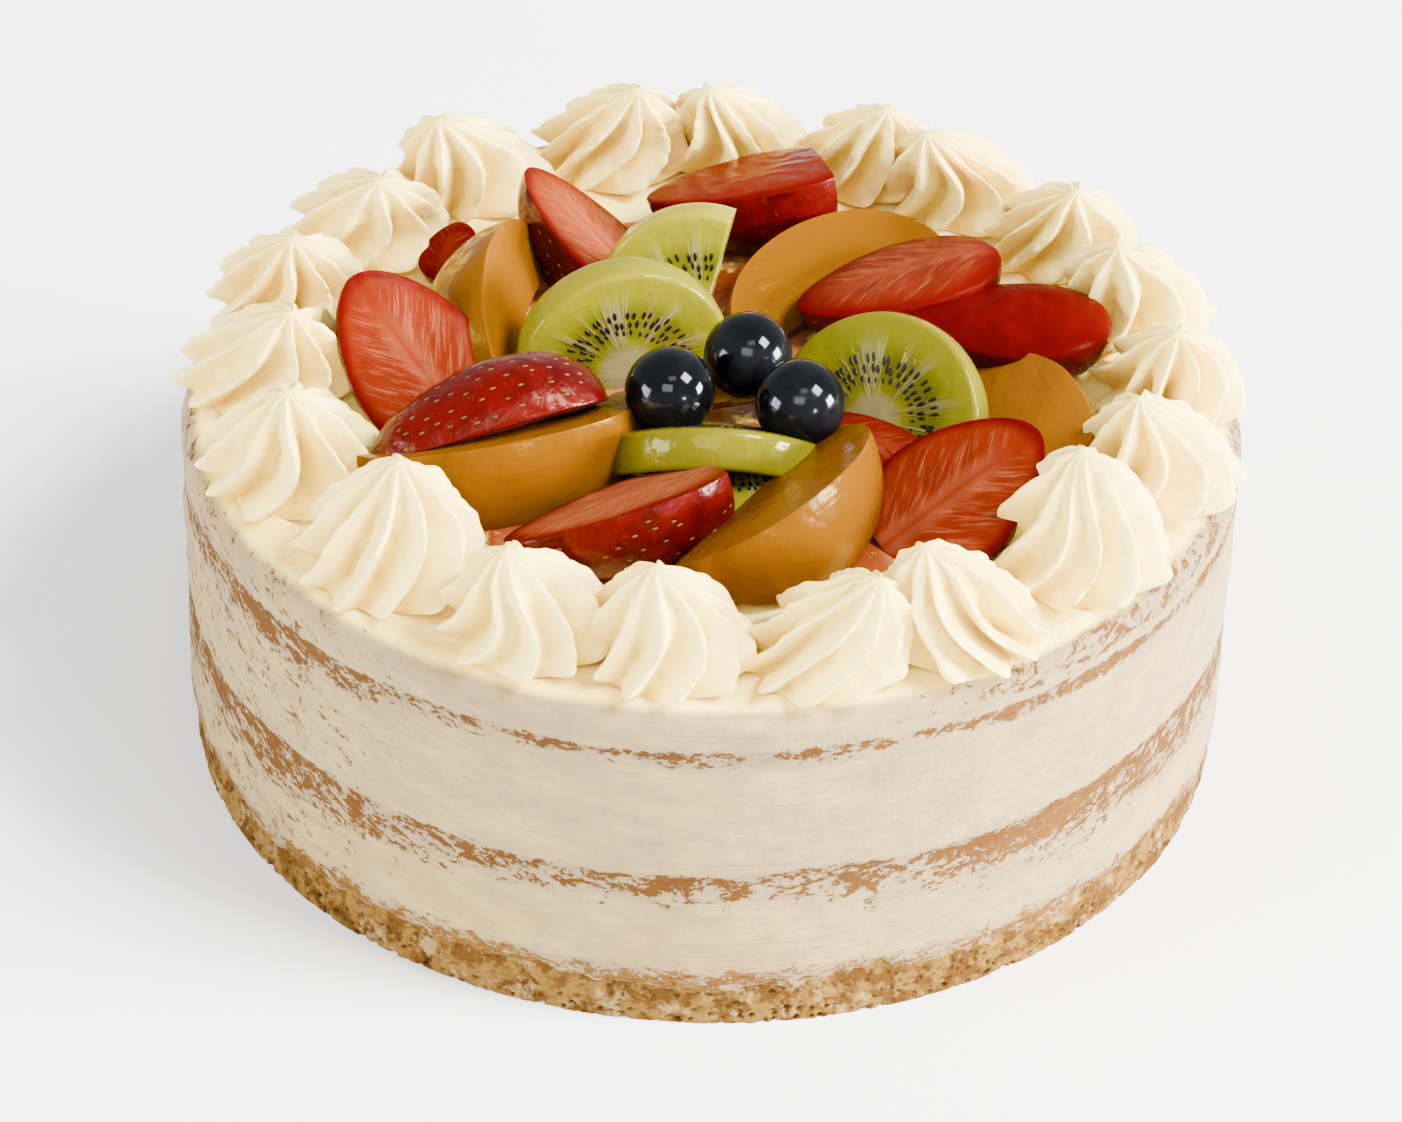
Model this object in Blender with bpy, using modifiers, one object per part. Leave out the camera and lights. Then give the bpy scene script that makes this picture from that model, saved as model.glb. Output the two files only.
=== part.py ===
"""Round layer cake with a scraped cream coat, a ring of piped cream rosettes and glazed fruit.

Units are metres, +Z is up, and the origin is the middle of the cake's flat underside.
"""

import math

import bmesh
import bpy
from mathutils import Matrix, Vector

MM = 0.001

# Driving sizes of the cake
CAKE_RADIUS = 0.1016
CAKE_HEIGHT = 0.071
COAT_SIDE = 0.0022
COAT_TOP = 0.0070
COAT_HEM = 0.0100
COAT_EDGE_ROUND = 0.0035
LOWER_SPONGE_TOP = 0.0352
UPPER_SPONGE_FOOT = 0.0410
FOOT_HEIGHT = 0.0084
FOOT_RADIUS = CAKE_RADIUS - 0.0004
GAP = 0.0003
SPONGE_RADIUS = CAKE_RADIUS - COAT_SIDE - GAP
TURN_STEPS = 64

# What lies on the cake starts this high
TOP_FLOOR = CAKE_HEIGHT + GAP

# Piped rosettes
ROSETTE_RIDGES = 8
ROSETTE_RINGS = 9
ROSETTE_RIDGE_DEPTH = 0.17
ROSETTE_FOOT_SHARE = 0.90

# Fruit
BERRY_RADIUS = 0.0085
BERRY_DIMPLE_RADIUS = 0.0034
BERRY_DIMPLE_DEPTH = 0.0014
BERRY_SQUASH = 0.95
BERRY_SEGMENTS = 16
BERRY_RINGS = 10
STRAWBERRY_SHOULDER = 0.24
STRAWBERRY_SEGMENTS = 14
STRAWBERRY_RINGS = 9
KIWI_RADIUS = 0.0208
KIWI_THICKNESS = 0.0078
KIWI_EDGE_ROUND = 0.0012
KIWI_SEGMENTS = 28
PEACH_STEPS = 3
PEACH_POINTS = 10
PEACH_TIP_RADIUS = 0.0035
PEACH_PIT_TIP_SHARE = 0.6
PEACH_PIT_LENGTH_SHARE = 0.86

# What a cut leaves is merged when closer than this
MERGE_DISTANCE = 0.00002
THIN_FACE = 0.00001
GROWTH_LIMIT = 1.6

# Each rosette: centre x, y, radius, height, lean of the tip x, y (millimetres), twist in degrees
ROSETTES = [
    (-86.5, 0.0, 17.0, 24.0, 7.0, -11.0, 28),
    (-78.0, -32.0, 17.5, 24.0, 0.0, -6.0, 24),
    (-58.0, -60.5, 17.5, 24.5, 2.0, 1.0, 30),
    (-31.5, -79.0, 16.0, 23.0, -4.0, -5.5, 22),
    (-6.5, -85.0, 15.5, 22.5, -2.5, -2.0, 26),
    (20.0, -84.5, 15.5, 21.5, 10.5, -3.0, 34),
    (46.5, -76.0, 15.5, 22.0, -8.0, -2.0, -26),
    (68.0, -53.0, 16.5, 24.0, 0.0, 4.5, 24),
    (84.5, -25.5, 15.5, 23.5, -5.5, -5.0, 28),
    (87.0, 3.0, 15.0, 23.0, 0.5, -11.0, 30),
    (82.5, 31.0, 15.5, 23.0, -5.0, -9.0, 26),
    (68.5, 55.0, 15.0, 22.5, 2.0, -12.0, 24),
    (50.0, 73.0, 15.5, 22.5, -8.5, -10.0, 26),
    (28.5, 83.0, 15.0, 22.0, 5.0, -10.5, 28),
    (4.0, 87.0, 15.5, 22.5, -6.5, -8.5, 24),
    (-23.0, 85.5, 16.0, 23.0, 6.5, -9.5, 26),
    (-50.0, 73.5, 16.0, 22.5, -6.0, -10.5, 28),
    (-70.5, 53.0, 16.5, 21.0, 4.0, -11.0, 20),
    (-83.5, 27.0, 16.0, 23.0, 2.0, -10.5, 26),
]

# Each half strawberry: name, middle of its cut face (millimetres), direction of its tip,
# direction its cut face looks, length, width and depth (millimetres), and the share of its half
# length at which the stem end is cut off flat
STRAWBERRIES = [
    ("strawberry_01", (-57.5, -5.5, 82.5), (-0.60, 0.27, 0.75), (0.36, -0.72, 0.58), 38, 27, 12, 1.0),
    ("strawberry_02", (-41.5, -31.5, 83.0), (-0.94, -0.30, -0.16), (0.05, -0.62, -0.80), 47, 25, 13, 1.0),
    ("strawberry_03", (-25.0, 42.5, 81.5), (-0.70, 0.52, 0.48), (0.62, 0.05, 0.78), 36, 29, 13, 0.9),
    ("strawberry_04", (6.0, 57.0, 86.0), (-0.95, -0.25, -0.12), (0.05, 0.28, 0.95), 42, 27, 16, 0.72),
    ("strawberry_05", (35.5, 26.0, 82.8), (-0.90, -0.35, -0.12), (0.05, 0.10, 0.98), 42, 24, 14, 1.0),
    ("strawberry_06", (56.5, 13.0, 83.2), (-0.98, 0.12, 0.05), (0.05, -0.02, 0.99), 40, 23, 12, 1.0),
    ("strawberry_07", (45.5, -43.5, 81.0), (0.74, 0.32, 0.50), (-0.45, -0.56, 0.68), 38, 28, 13, 0.9),
    ("strawberry_08", (-16.5, -51.0, 82.5), (-0.88, -0.42, -0.14), (0.02, 0.47, 0.88), 46, 28, 15, 0.8),
    ("strawberry_09", (29.0, -24.0, 78.0), (0.90, -0.30, 0.0), (0.0, -0.10, 0.99), 26, 16, 7, 1.0),
    ("strawberry_10", (-52.5, 40.0, 80.0), (0.20, 0.80, 0.40), (-0.20, -0.50, 0.80), 18, 14, 8, 1.0),
]

# Each peach slice: name, middle of its pit side, direction from tip to tip, direction its skin
# looks, length, depth from pit side to skin, both in millimetres, the angle of the wedge, and the
# share of the depth that the pit has left hollow
PEACHES = [
    ("peach_01", (-34.5, 18.0, 72.0), (0.15, 0.98, 0.03), (-0.72, 0.10, 0.66), 46, 23, 48, 0.24),
    ("peach_02", (-42.0, -21.0, 79.3), (0.91, 0.41, 0.0), (0.37, -0.88, 0.02), 58, 26, 46, 0.24),
    ("peach_03", (29.5, 27.0, 72.0), (0.76, 0.65, 0.0), (-0.62, 0.70, 0.28), 56, 24, 34, 0.24),
    ("peach_04", (51.0, -18.5, 72.0), (-0.32, 0.95, 0.0), (0.92, 0.31, 0.30), 48, 23, 36, 0.24),
    ("peach_05", (6.5, -45.0, 79.6), (0.54, 0.84, 0.04), (0.81, -0.55, 0.14), 51, 24, 50, 0.06),
    ("peach_06", (4.0, -6.0, 73.0), (0.90, 0.30, 0.0), (0.0, -0.30, 0.95), 26, 12, 60, 0.24),
]

# Each half kiwi slice: name, its core, direction the face looks, direction from the core to the
# middle of the arc, how far the slice goes past the core, and how far its ends sag (millimetres)
KIWIS = [
    ("kiwi_01", (-2.5, 23.5, 76.5), (-0.16, -0.96, 0.22), (-0.97, 0.12, 0.20), 1.0, 0.0),
    ("kiwi_02", (-17.6, 5.5, 76.0), (0.26, -0.96, 0.05), (-0.05, 0.05, 0.99), 4.5, 0.0),
    ("kiwi_03", (31.8, -14.0, 76.2), (-0.36, -0.70, 0.62), (0.10, 0.62, 0.78), 6.0, 0.0),
    ("kiwi_04", (1.0, -24.5, 77.6), (0.02, 0.515, 0.857), (0.02, -0.857, 0.515), 1.5, 3.4),
    ("kiwi_05", (6.0, -30.0, 75.0), (0.0, 0.05, 0.99), (0.10, -0.99, 0.0), 3.0, 0.0),
]

# Each berry: name, centre (millimetres)
BERRIES = [
    ("blueberry_01", (-8.0, -24.0, 88.6)),
    ("blueberry_02", (6.5, -8.5, 86.8)),
    ("blueberry_03", (16.4, -24.8, 87.2)),
]

# Where pieces press on each other, an earlier one keeps its shape and a later one gives way
STACK = [
    "blueberry_01", "blueberry_02", "blueberry_03", "kiwi_04", "strawberry_02", "strawberry_07",
    "kiwi_03", "peach_05", "strawberry_08", "strawberry_01", "kiwi_02", "kiwi_01",
    "strawberry_03", "peach_01", "peach_04", "strawberry_06", "strawberry_05", "peach_03",
    "strawberry_04", "peach_02", "strawberry_09", "kiwi_05", "peach_06", "strawberry_10",
]

# Colour, roughness of each finish
FINISHES = {
    "sponge": ((0.53, 0.31, 0.12), 0.90),
    "cream": ((0.90, 0.85, 0.74), 0.55),
    "coat": ((0.83, 0.78, 0.69), 0.60),
    "strawberry": ((0.48, 0.02, 0.01), 0.25),
    "peach": ((0.80, 0.30, 0.01), 0.22),
    "kiwi": ((0.42, 0.50, 0.06), 0.30),
    "blueberry": ((0.012, 0.012, 0.022), 0.12),
}


def clear_scene():
    """Remove the objects the scene starts with."""
    for obj in list(bpy.data.objects):
        bpy.data.objects.remove(obj, do_unlink=True)


def make_collection(name):
    """Make a collection in the scene."""
    collection = bpy.data.collections.new(name)
    bpy.context.scene.collection.children.link(collection)
    return collection


def make_finish(node, kind):
    """Give a sub-part its own Principled material."""
    colour, roughness = FINISHES[kind]
    material = bpy.data.materials.new(node + "_finish")
    material.use_nodes = True
    shader = material.node_tree.nodes["Principled BSDF"]
    shader.inputs["Base Color"].default_value = (*colour, 1.0)
    shader.inputs["Roughness"].default_value = roughness
    shader.inputs["Metallic"].default_value = 0.0
    material.diffuse_color = (*colour, 1.0)
    return material


def new_object(name, collection, kind=None):
    """Make an empty mesh object in a collection."""
    mesh = bpy.data.meshes.new(name)
    obj = bpy.data.objects.new(name, mesh)
    collection.objects.link(obj)
    if kind is not None:
        mesh.materials.append(make_finish(name, kind))
    return obj


def fill_object(obj, bm, sharp_angle=None):
    """Write an edited mesh to its object, shaded smooth up to an angle."""
    bm.to_mesh(obj.data)
    bm.free()
    if sharp_angle is not None:
        obj.data.shade_smooth()
        obj.data.set_sharp_from_angle(angle=math.radians(sharp_angle))


def turned(name, collection, kind, profile):
    """Turn a profile, given from the top down its outer side, about the Z axis."""
    obj = new_object(name, collection, kind)
    bm = bmesh.new()
    verts = [bm.verts.new((radius, 0.0, height)) for radius, height in profile]
    for first, second in zip(verts, verts[1:]):
        bm.edges.new((first, second))
    fill_object(obj, bm)
    screw = obj.modifiers.new("turn", "SCREW")
    screw.axis = "Z"
    screw.steps = TURN_STEPS
    screw.render_steps = TURN_STEPS
    screw.use_merge_vertices = True
    screw.merge_threshold = 0.00001
    screw.use_smooth_shade = False
    return obj


def settle(obj):
    """Replace an object's mesh by its evaluated mesh and drop the modifiers."""
    depsgraph = bpy.context.evaluated_depsgraph_get()
    mesh = bpy.data.meshes.new_from_object(obj.evaluated_get(depsgraph))
    old = obj.data
    obj.modifiers.clear()
    obj.data = mesh
    mesh.name = obj.name
    bpy.data.meshes.remove(old)


def make_lower_sponge(collection):
    """Lower sponge: its bare foot stands as far out as the coat above it."""
    profile = [
        (0.0, LOWER_SPONGE_TOP),
        (SPONGE_RADIUS, LOWER_SPONGE_TOP),
        (SPONGE_RADIUS, FOOT_HEIGHT),
        (FOOT_RADIUS, FOOT_HEIGHT - 0.0006),
        (FOOT_RADIUS, 0.0),
        (0.0, 0.0),
    ]
    return turned("sponge_lower", collection, "sponge", profile)


def make_filling(collection):
    """Cream filling between the two sponges."""
    top = UPPER_SPONGE_FOOT - GAP
    foot = LOWER_SPONGE_TOP + GAP
    profile = [(0.0, top), (SPONGE_RADIUS, top), (SPONGE_RADIUS, foot), (0.0, foot)]
    return turned("cream_filling", collection, "cream", profile)


def make_upper_sponge(collection):
    """Upper sponge, under the top cream."""
    top = CAKE_HEIGHT - COAT_TOP - GAP
    foot = UPPER_SPONGE_FOOT
    profile = [(0.0, top), (SPONGE_RADIUS, top), (SPONGE_RADIUS, foot), (0.0, foot)]
    return turned("sponge_upper", collection, "sponge", profile)


def hem_wave(angle):
    """Height of the coat's ragged lower edge above its mean, by angle round the cake."""
    return (0.0006 * math.sin(9 * angle + 0.4)
            + 0.0004 * math.sin(17 * angle + 2.1)
            + 0.0003 * math.sin(23 * angle + 1.0))


def make_coat(collection):
    """Cream coat: a thick top and a thin scraped side that ends above the foot."""
    inner = CAKE_RADIUS - COAT_SIDE
    under = CAKE_HEIGHT - COAT_TOP
    edge = COAT_EDGE_ROUND
    profile = [(0.0, CAKE_HEIGHT), (CAKE_RADIUS - edge, CAKE_HEIGHT)]
    for step in (1, 2):
        turn = math.radians(45 * step)
        profile.append((CAKE_RADIUS - edge + edge * math.sin(turn),
                        CAKE_HEIGHT - edge + edge * math.cos(turn)))
    profile.append((CAKE_RADIUS, COAT_HEM))
    profile.append((inner, COAT_HEM))
    profile.append((inner, under))
    profile.append((0.0, under))
    obj = turned("cream_coat", collection, "coat", profile)
    settle(obj)
    for vert in obj.data.vertices:
        if vert.co.z < COAT_HEM + GAP:
            vert.co.z += hem_wave(math.atan2(vert.co.y, vert.co.x))
    return obj


def rosette_profile(share):
    """Radius and height of a rosette, both as shares, from its tip (0) to its foot (1)."""
    foot_ring = 1.0 - 1.0 / ROSETTE_RINGS
    if share > foot_ring + 0.001:
        return 0.0, 0.0
    height = max(0.0, 1.0 - (share / foot_ring) ** 0.85)
    dome = max(0.0, 1.0 - height ** 2.4) ** 0.80
    foot = 1.0 - (1.0 - ROSETTE_FOOT_SHARE) * max(0.0, 1.0 - height / 0.12)
    return dome * foot, height


def make_rosette(name, collection, place):
    """Star piped dollop: ridges run from a bulging foot up a twisted cone to a leaning tip."""
    x, y, radius, tall, lean_x, lean_y, twist = [float(value) for value in place]
    obj = new_object(name, collection, "cream")
    bm = bmesh.new()
    bmesh.ops.create_uvsphere(
        bm, u_segments=2 * ROSETTE_RIDGES, v_segments=ROSETTE_RINGS, radius=1.0)
    for vert in bm.verts:
        polar = math.acos(max(-1.0, min(1.0, vert.co.z)))
        share = polar / math.pi
        around = math.atan2(vert.co.y, vert.co.x)
        out, height = rosette_profile(share)
        ridge = 1.0 - ROSETTE_RIDGE_DEPTH * (0.5 - 0.5 * math.cos(ROSETTE_RIDGES * around))
        turn = around + math.radians(twist) * height + math.atan2(y, x)
        reach = radius * MM * out * ridge
        lean = height ** 1.5
        vert.co.x = x * MM + reach * math.cos(turn) + lean_x * MM * lean
        vert.co.y = y * MM + reach * math.sin(turn) + lean_y * MM * lean
        vert.co.z = TOP_FLOOR + tall * MM * height
    fill_object(obj, bm)
    return obj


def flatten(bm, point, normal):
    """Cut off what lies beyond a plane and close the cut with a flat face."""
    cut = bmesh.ops.bisect_plane(
        bm, geom=bm.verts[:] + bm.edges[:] + bm.faces[:], dist=1e-7,
        plane_co=point, plane_no=normal, clear_outer=True)
    edges = [part for part in cut["geom_cut"] if isinstance(part, bmesh.types.BMEdge)]
    if edges:
        bmesh.ops.edgeloop_fill(bm, edges=edges)
    bmesh.ops.recalc_face_normals(bm, faces=bm.faces[:])


def press_rosettes(rosettes):
    """Flatten each rosette where its neighbours press on it."""
    count = len(ROSETTES)
    for index, obj in enumerate(rosettes):
        x, y, radius = ROSETTES[index][:3]
        bm = bmesh.new()
        bm.from_mesh(obj.data)
        for step in (-1, 1):
            other_x, other_y, other_radius = ROSETTES[(index + step) % count][:3]
            away = Vector((other_x - x, other_y - y, 0.0)) * MM
            share = radius / (radius + other_radius)
            middle = Vector((x, y, 0.0)) * MM + away * share
            normal = away.normalized()
            flatten(bm, middle - normal * 0.5 * GAP, normal)
        fill_object(obj, bm)


def pose(bm, middle, along, facing):
    """Turn a shape so that its Z runs along one direction and its Y faces another."""
    z_axis = Vector(along).normalized()
    y_axis = Vector(facing)
    y_axis = (y_axis - z_axis * y_axis.dot(z_axis)).normalized()
    x_axis = y_axis.cross(z_axis)
    turn = Matrix((x_axis, y_axis, z_axis)).transposed().to_4x4()
    bmesh.ops.transform(bm, verts=bm.verts[:],
                        matrix=Matrix.Translation(Vector(middle) * MM) @ turn)


def rest_on_top(bm):
    """Flatten a piece where it rests on the cake's top."""
    if min(vert.co.z for vert in bm.verts) < TOP_FLOOR:
        flatten(bm, Vector((0.0, 0.0, TOP_FLOOR)), Vector((0.0, 0.0, -1.0)))


def make_strawberry(collection, name, middle, tip, face, length, width, depth, stem_cut):
    """Half strawberry: broad shoulders, a rounded tip and one flat cut face."""
    obj = new_object(name, collection, "strawberry")
    bm = bmesh.new()
    bmesh.ops.create_uvsphere(
        bm, u_segments=STRAWBERRY_SEGMENTS, v_segments=STRAWBERRY_RINGS, radius=1.0)
    for vert in bm.verts:
        shoulder = 1.0 - STRAWBERRY_SHOULDER * vert.co.z
        deep = depth if vert.co.y < 0.0 else width / 2
        vert.co.x *= width / 2 * MM * shoulder
        vert.co.y *= deep * MM * shoulder
        vert.co.z *= length / 2 * MM
    flatten(bm, Vector((0.0, 0.0, 0.0)), Vector((0.0, 1.0, 0.0)))
    if stem_cut < 1.0:
        stem = -stem_cut * length / 2 * MM
        flatten(bm, Vector((0.0, 0.0, stem)), Vector((0.0, 0.0, -1.0)))
    pose(bm, middle, tip, face)
    rest_on_top(bm)
    fill_object(obj, bm, sharp_angle=50)
    return obj


def make_peach(collection, name, middle, along, skin, length, depth, wedge, hollow):
    """Peach slice: a crescent outline spun through the angle of the wedge."""
    obj = new_object(name, collection, "peach")
    half = length / 2 * MM
    tip = PEACH_TIP_RADIUS
    pit_tip = PEACH_PIT_TIP_SHARE * tip
    skin_depth = depth * MM
    pit_depth = hollow * skin_depth
    bm = bmesh.new()
    outline = []
    for step in range(PEACH_POINTS + 1):
        turn = math.pi * step / PEACH_POINTS
        outline.append((tip + (skin_depth - tip) * math.sin(turn) ** 0.85, half * math.cos(turn)))
    for step in range(1, PEACH_POINTS - 2):
        turn = math.pi * step / (PEACH_POINTS - 2)
        outline.append((pit_tip + (pit_depth - pit_tip) * math.sin(turn),
                        -PEACH_PIT_LENGTH_SHARE * half * math.cos(turn)))
    start = math.radians(-0.5 * wedge)
    verts = [bm.verts.new((out * math.sin(start), out * math.cos(start), height))
             for out, height in outline]
    face = bm.faces.new(verts)
    bmesh.ops.spin(bm, geom=[face] + face.edges[:] + verts, cent=(0.0, 0.0, 0.0),
                   axis=(0.0, 0.0, -1.0), angle=math.radians(wedge), steps=PEACH_STEPS)
    bmesh.ops.recalc_face_normals(bm, faces=bm.faces[:])
    pose(bm, middle, along, skin)
    rest_on_top(bm)
    fill_object(obj, bm, sharp_angle=40)
    return obj


def make_kiwi(collection, name, core, face, arc, past_core, sag):
    """Half kiwi slice: a thick disc cut just past its core, with rounded rims."""
    obj = new_object(name, collection, "kiwi")
    bm = bmesh.new()
    bmesh.ops.create_cone(bm, cap_ends=True, segments=KIWI_SEGMENTS, radius1=KIWI_RADIUS,
                          radius2=KIWI_RADIUS, depth=KIWI_THICKNESS)
    rims = [edge for edge in bm.edges
            if abs(edge.verts[0].co.z - edge.verts[1].co.z) < 1e-6]
    bmesh.ops.bevel(bm, geom=rims, offset=KIWI_EDGE_ROUND, segments=1, affect="EDGES")
    flatten(bm, Vector((0.0, -past_core * MM, 0.0)), Vector((0.0, -1.0, 0.0)))
    if sag:
        bmesh.ops.triangulate(bm, faces=bm.faces[:])
        for vert in bm.verts:
            vert.co.z -= sag * MM * (vert.co.x / KIWI_RADIUS) ** 2
    pose(bm, core, face, arc)
    rest_on_top(bm)
    fill_object(obj, bm, sharp_angle=35)
    return obj


def make_berry(collection, name, middle):
    """Blueberry: a slightly flattened ball with its crown dimple turned down and back."""
    obj = new_object(name, collection, "blueberry")
    bm = bmesh.new()
    bmesh.ops.create_uvsphere(
        bm, u_segments=BERRY_SEGMENTS, v_segments=BERRY_RINGS, radius=BERRY_RADIUS)
    for vert in bm.verts:
        out = math.hypot(vert.co.x, vert.co.y)
        vert.co.z *= BERRY_SQUASH
        if vert.co.z > 0.0:
            vert.co.z -= BERRY_DIMPLE_DEPTH * max(0.0, 1.0 - out / BERRY_DIMPLE_RADIUS)
    pose(bm, middle, (0.2, 0.80, -0.55), (1.0, 0.0, 0.0))
    rest_on_top(bm)
    fill_object(obj, bm, sharp_angle=60)
    return obj


def box_of(obj):
    """Lowest and highest corners of an object's mesh."""
    points = [vert.co for vert in obj.data.vertices]
    low = Vector(min(point[axis] for point in points) for axis in range(3))
    high = Vector(max(point[axis] for point in points) for axis in range(3))
    return low, high


def boxes_meet(first, second):
    """Tell whether the boxes of two objects come within a gap of each other."""
    low_a, high_a = box_of(first)
    low_b, high_b = box_of(second)
    return all(low_a[axis] - 2 * GAP < high_b[axis] and low_b[axis] - 2 * GAP < high_a[axis]
               for axis in range(3))


def make_cutter(obj, cutters):
    """Copy a piece, grown by the gap on every side, to cut what lies against it."""
    cutter = new_object("cut_" + obj.name, cutters)
    bm = bmesh.new()
    bm.from_mesh(obj.data)
    bm.normal_update()
    grown = {}
    for vert in bm.verts:
        reach = GAP * min(vert.calc_shell_factor(), GROWTH_LIMIT)
        grown[vert.index] = vert.co + vert.normal * reach
    for vert in bm.verts:
        vert.co = grown[vert.index]
    fill_object(cutter, bm)
    cutter.hide_render = True
    cutter.display_type = "WIRE"
    return cutter


def tidy_solid(obj):
    """Merge the slivers a cut leaves and keep only the largest body."""
    bm = bmesh.new()
    bm.from_mesh(obj.data)
    bmesh.ops.remove_doubles(bm, verts=bm.verts[:], dist=MERGE_DISTANCE)
    bmesh.ops.triangulate(bm, faces=bm.faces[:])
    bmesh.ops.dissolve_degenerate(bm, edges=bm.edges[:], dist=THIN_FACE)
    waiting = set(bm.verts)
    bodies = []
    while waiting:
        seed = waiting.pop()
        body = {seed}
        edge_of_body = [seed]
        while edge_of_body:
            vert = edge_of_body.pop()
            for edge in vert.link_edges:
                other = edge.other_vert(vert)
                if other in waiting:
                    waiting.discard(other)
                    body.add(other)
                    edge_of_body.append(other)
        bodies.append(body)
    bodies.sort(key=len)
    for body in bodies[:-1]:
        bmesh.ops.delete(bm, geom=list(body), context="VERTS")
    bm.to_mesh(obj.data)
    bm.free()


def is_closed(obj):
    """Tell whether an object is one or more closed bodies, with something in them."""
    bm = bmesh.new()
    bm.from_mesh(obj.data)
    closed = len(bm.faces) > 0 and all(len(edge.link_faces) == 2 for edge in bm.edges)
    bm.free()
    return closed


def give_way(obj, cutters):
    """Cut a piece by the grown copies of the pieces that press on it, one after another."""
    for cutter in cutters:
        whole = obj.data.copy()
        for solver in ("EXACT", "MANIFOLD"):
            cut = obj.modifiers.new("rests_by_" + cutter.name, "BOOLEAN")
            cut.operation = "DIFFERENCE"
            cut.solver = solver
            cut.object = cutter
            settle(obj)
            tidy_solid(obj)
            if is_closed(obj):
                break
            failed = obj.data
            obj.data = whole.copy()
            bpy.data.meshes.remove(failed)
        bpy.data.meshes.remove(whole)


def stack_pieces(fruit, rosettes, cutter_collection):
    """Let each piece give way to the pieces that come before it in the stack."""
    settled = []
    for name in STACK:
        obj = fruit[name]
        give_way(obj, [cutter for piece, cutter in settled if boxes_meet(obj, piece)])
        settled.append((obj, make_cutter(obj, cutter_collection)))
    for obj in rosettes:
        give_way(obj, [cutter for piece, cutter in settled if boxes_meet(obj, piece)])


def main():
    """Build the cake from the foot up."""
    clear_scene()
    cake = make_collection("fruit_topped_cake")
    cutters = make_collection("cutters")
    make_lower_sponge(cake)
    make_filling(cake)
    make_upper_sponge(cake)
    make_coat(cake)
    rosettes = [make_rosette("rosette_%02d" % (index + 1), cake, place)
                for index, place in enumerate(ROSETTES)]
    press_rosettes(rosettes)
    fruit = {}
    for row in STRAWBERRIES:
        fruit[row[0]] = make_strawberry(cake, *row)
    for row in PEACHES:
        fruit[row[0]] = make_peach(cake, *row)
    for row in KIWIS:
        fruit[row[0]] = make_kiwi(cake, *row)
    for row in BERRIES:
        fruit[row[0]] = make_berry(cake, *row)
    stack_pieces(fruit, rosettes, cutters)


if __name__ == "__main__":
    main()
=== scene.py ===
"""Looks of the fruit topped cake: scraped cream coat, piped rosettes, cut fruit, seeds and glaze."""

import math
import random

import bpy
import numpy as np
from bpy.props import FloatProperty, FloatVectorProperty, PointerProperty
from mathutils import Matrix, Vector, noise
from mathutils.bvhtree import BVHTree


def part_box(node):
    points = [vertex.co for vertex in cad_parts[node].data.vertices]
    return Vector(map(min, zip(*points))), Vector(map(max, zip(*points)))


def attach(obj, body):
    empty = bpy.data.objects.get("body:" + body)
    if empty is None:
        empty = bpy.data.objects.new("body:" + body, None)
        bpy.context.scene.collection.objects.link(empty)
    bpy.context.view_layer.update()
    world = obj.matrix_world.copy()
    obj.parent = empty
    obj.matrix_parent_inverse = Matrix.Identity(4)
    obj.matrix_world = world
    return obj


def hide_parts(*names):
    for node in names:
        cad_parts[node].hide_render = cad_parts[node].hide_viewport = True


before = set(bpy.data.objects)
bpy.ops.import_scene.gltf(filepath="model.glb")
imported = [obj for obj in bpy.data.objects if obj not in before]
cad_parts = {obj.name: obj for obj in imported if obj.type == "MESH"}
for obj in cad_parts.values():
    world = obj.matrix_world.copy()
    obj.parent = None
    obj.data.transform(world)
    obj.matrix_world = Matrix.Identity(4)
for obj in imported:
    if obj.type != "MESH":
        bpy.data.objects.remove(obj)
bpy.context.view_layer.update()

bl_info = {
    "name": "Fruit Topped Cake",
    "version": (1, 0, 0),
    "blender": (4, 5, 0),
    "location": "View3D > Sidebar > Cake",
    "description": "Dresses a round layer cake with cream, fruit, seeds and glaze",
    "category": "Object",
}

MM = 0.001

# Sizes read from the frame, in metres like all lengths without another unit
CAKE_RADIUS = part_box("cream_coat")[1].x
CAKE_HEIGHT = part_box("cream_coat")[1].z
COAT_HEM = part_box("cream_coat")[0].z
LAYER_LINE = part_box("sponge_lower")[1].z
SPONGE_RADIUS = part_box("sponge_upper")[1].x
TOP_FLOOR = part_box("rosette_01")[0].z

# Coat and bare foot
COAT_COLUMNS = 512
COAT_EDGE_ROUND = 0.0040
COAT_SIDE_ROW = 0.0008
COAT_TOP_ROW = 0.0014
COAT_UNDER = 0.0070
FOOT_COLUMNS = 900
FOOT_ROW = 0.00045
FOOT_INSET = 0.0009
FOOT_TOP = 0.0135
FOOT_WAVE = 0.00035
LARGE_PORE = 0.0021
SMALL_PORE = 0.0009
COAT_TAPER = 0.0013
COAT_LIP = 0.0008
TOP_SWIRL = 0.00022
HEM_WAVE = 0.0008
HEM_TEAR = 0.0022

# Rosettes
ROSETTE_COLUMNS = 200
ROSETTE_ROWS = 64
ROSETTE_RIDGES = 10
ROSETTE_FOOT_ROW = 1.0 - 1.0 / 9.0
ROSETTE_CURL = 0.16
ROSETTE_SWAY = 0.30
ROSETTE_LUMPS = 0.00095
ROSETTE_GRAIN = 0.00055
ROSETTE_TORN = 0.00030

# Fruit
BERRY_RADIUS = 0.0085
BERRY_CROWN = 0.0026
BERRY_CROWN_RISE = 0.0005
BERRY_CROWN_PIT = 0.0015
KIWI_RADIUS = 0.0208
KIWI_THICKNESS = 0.0078
KIWI_EDGE_ROUND = 0.0012
KIWI_DIP = 0.00035
KIWI_SEED_THICKNESS = 0.0009
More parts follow.
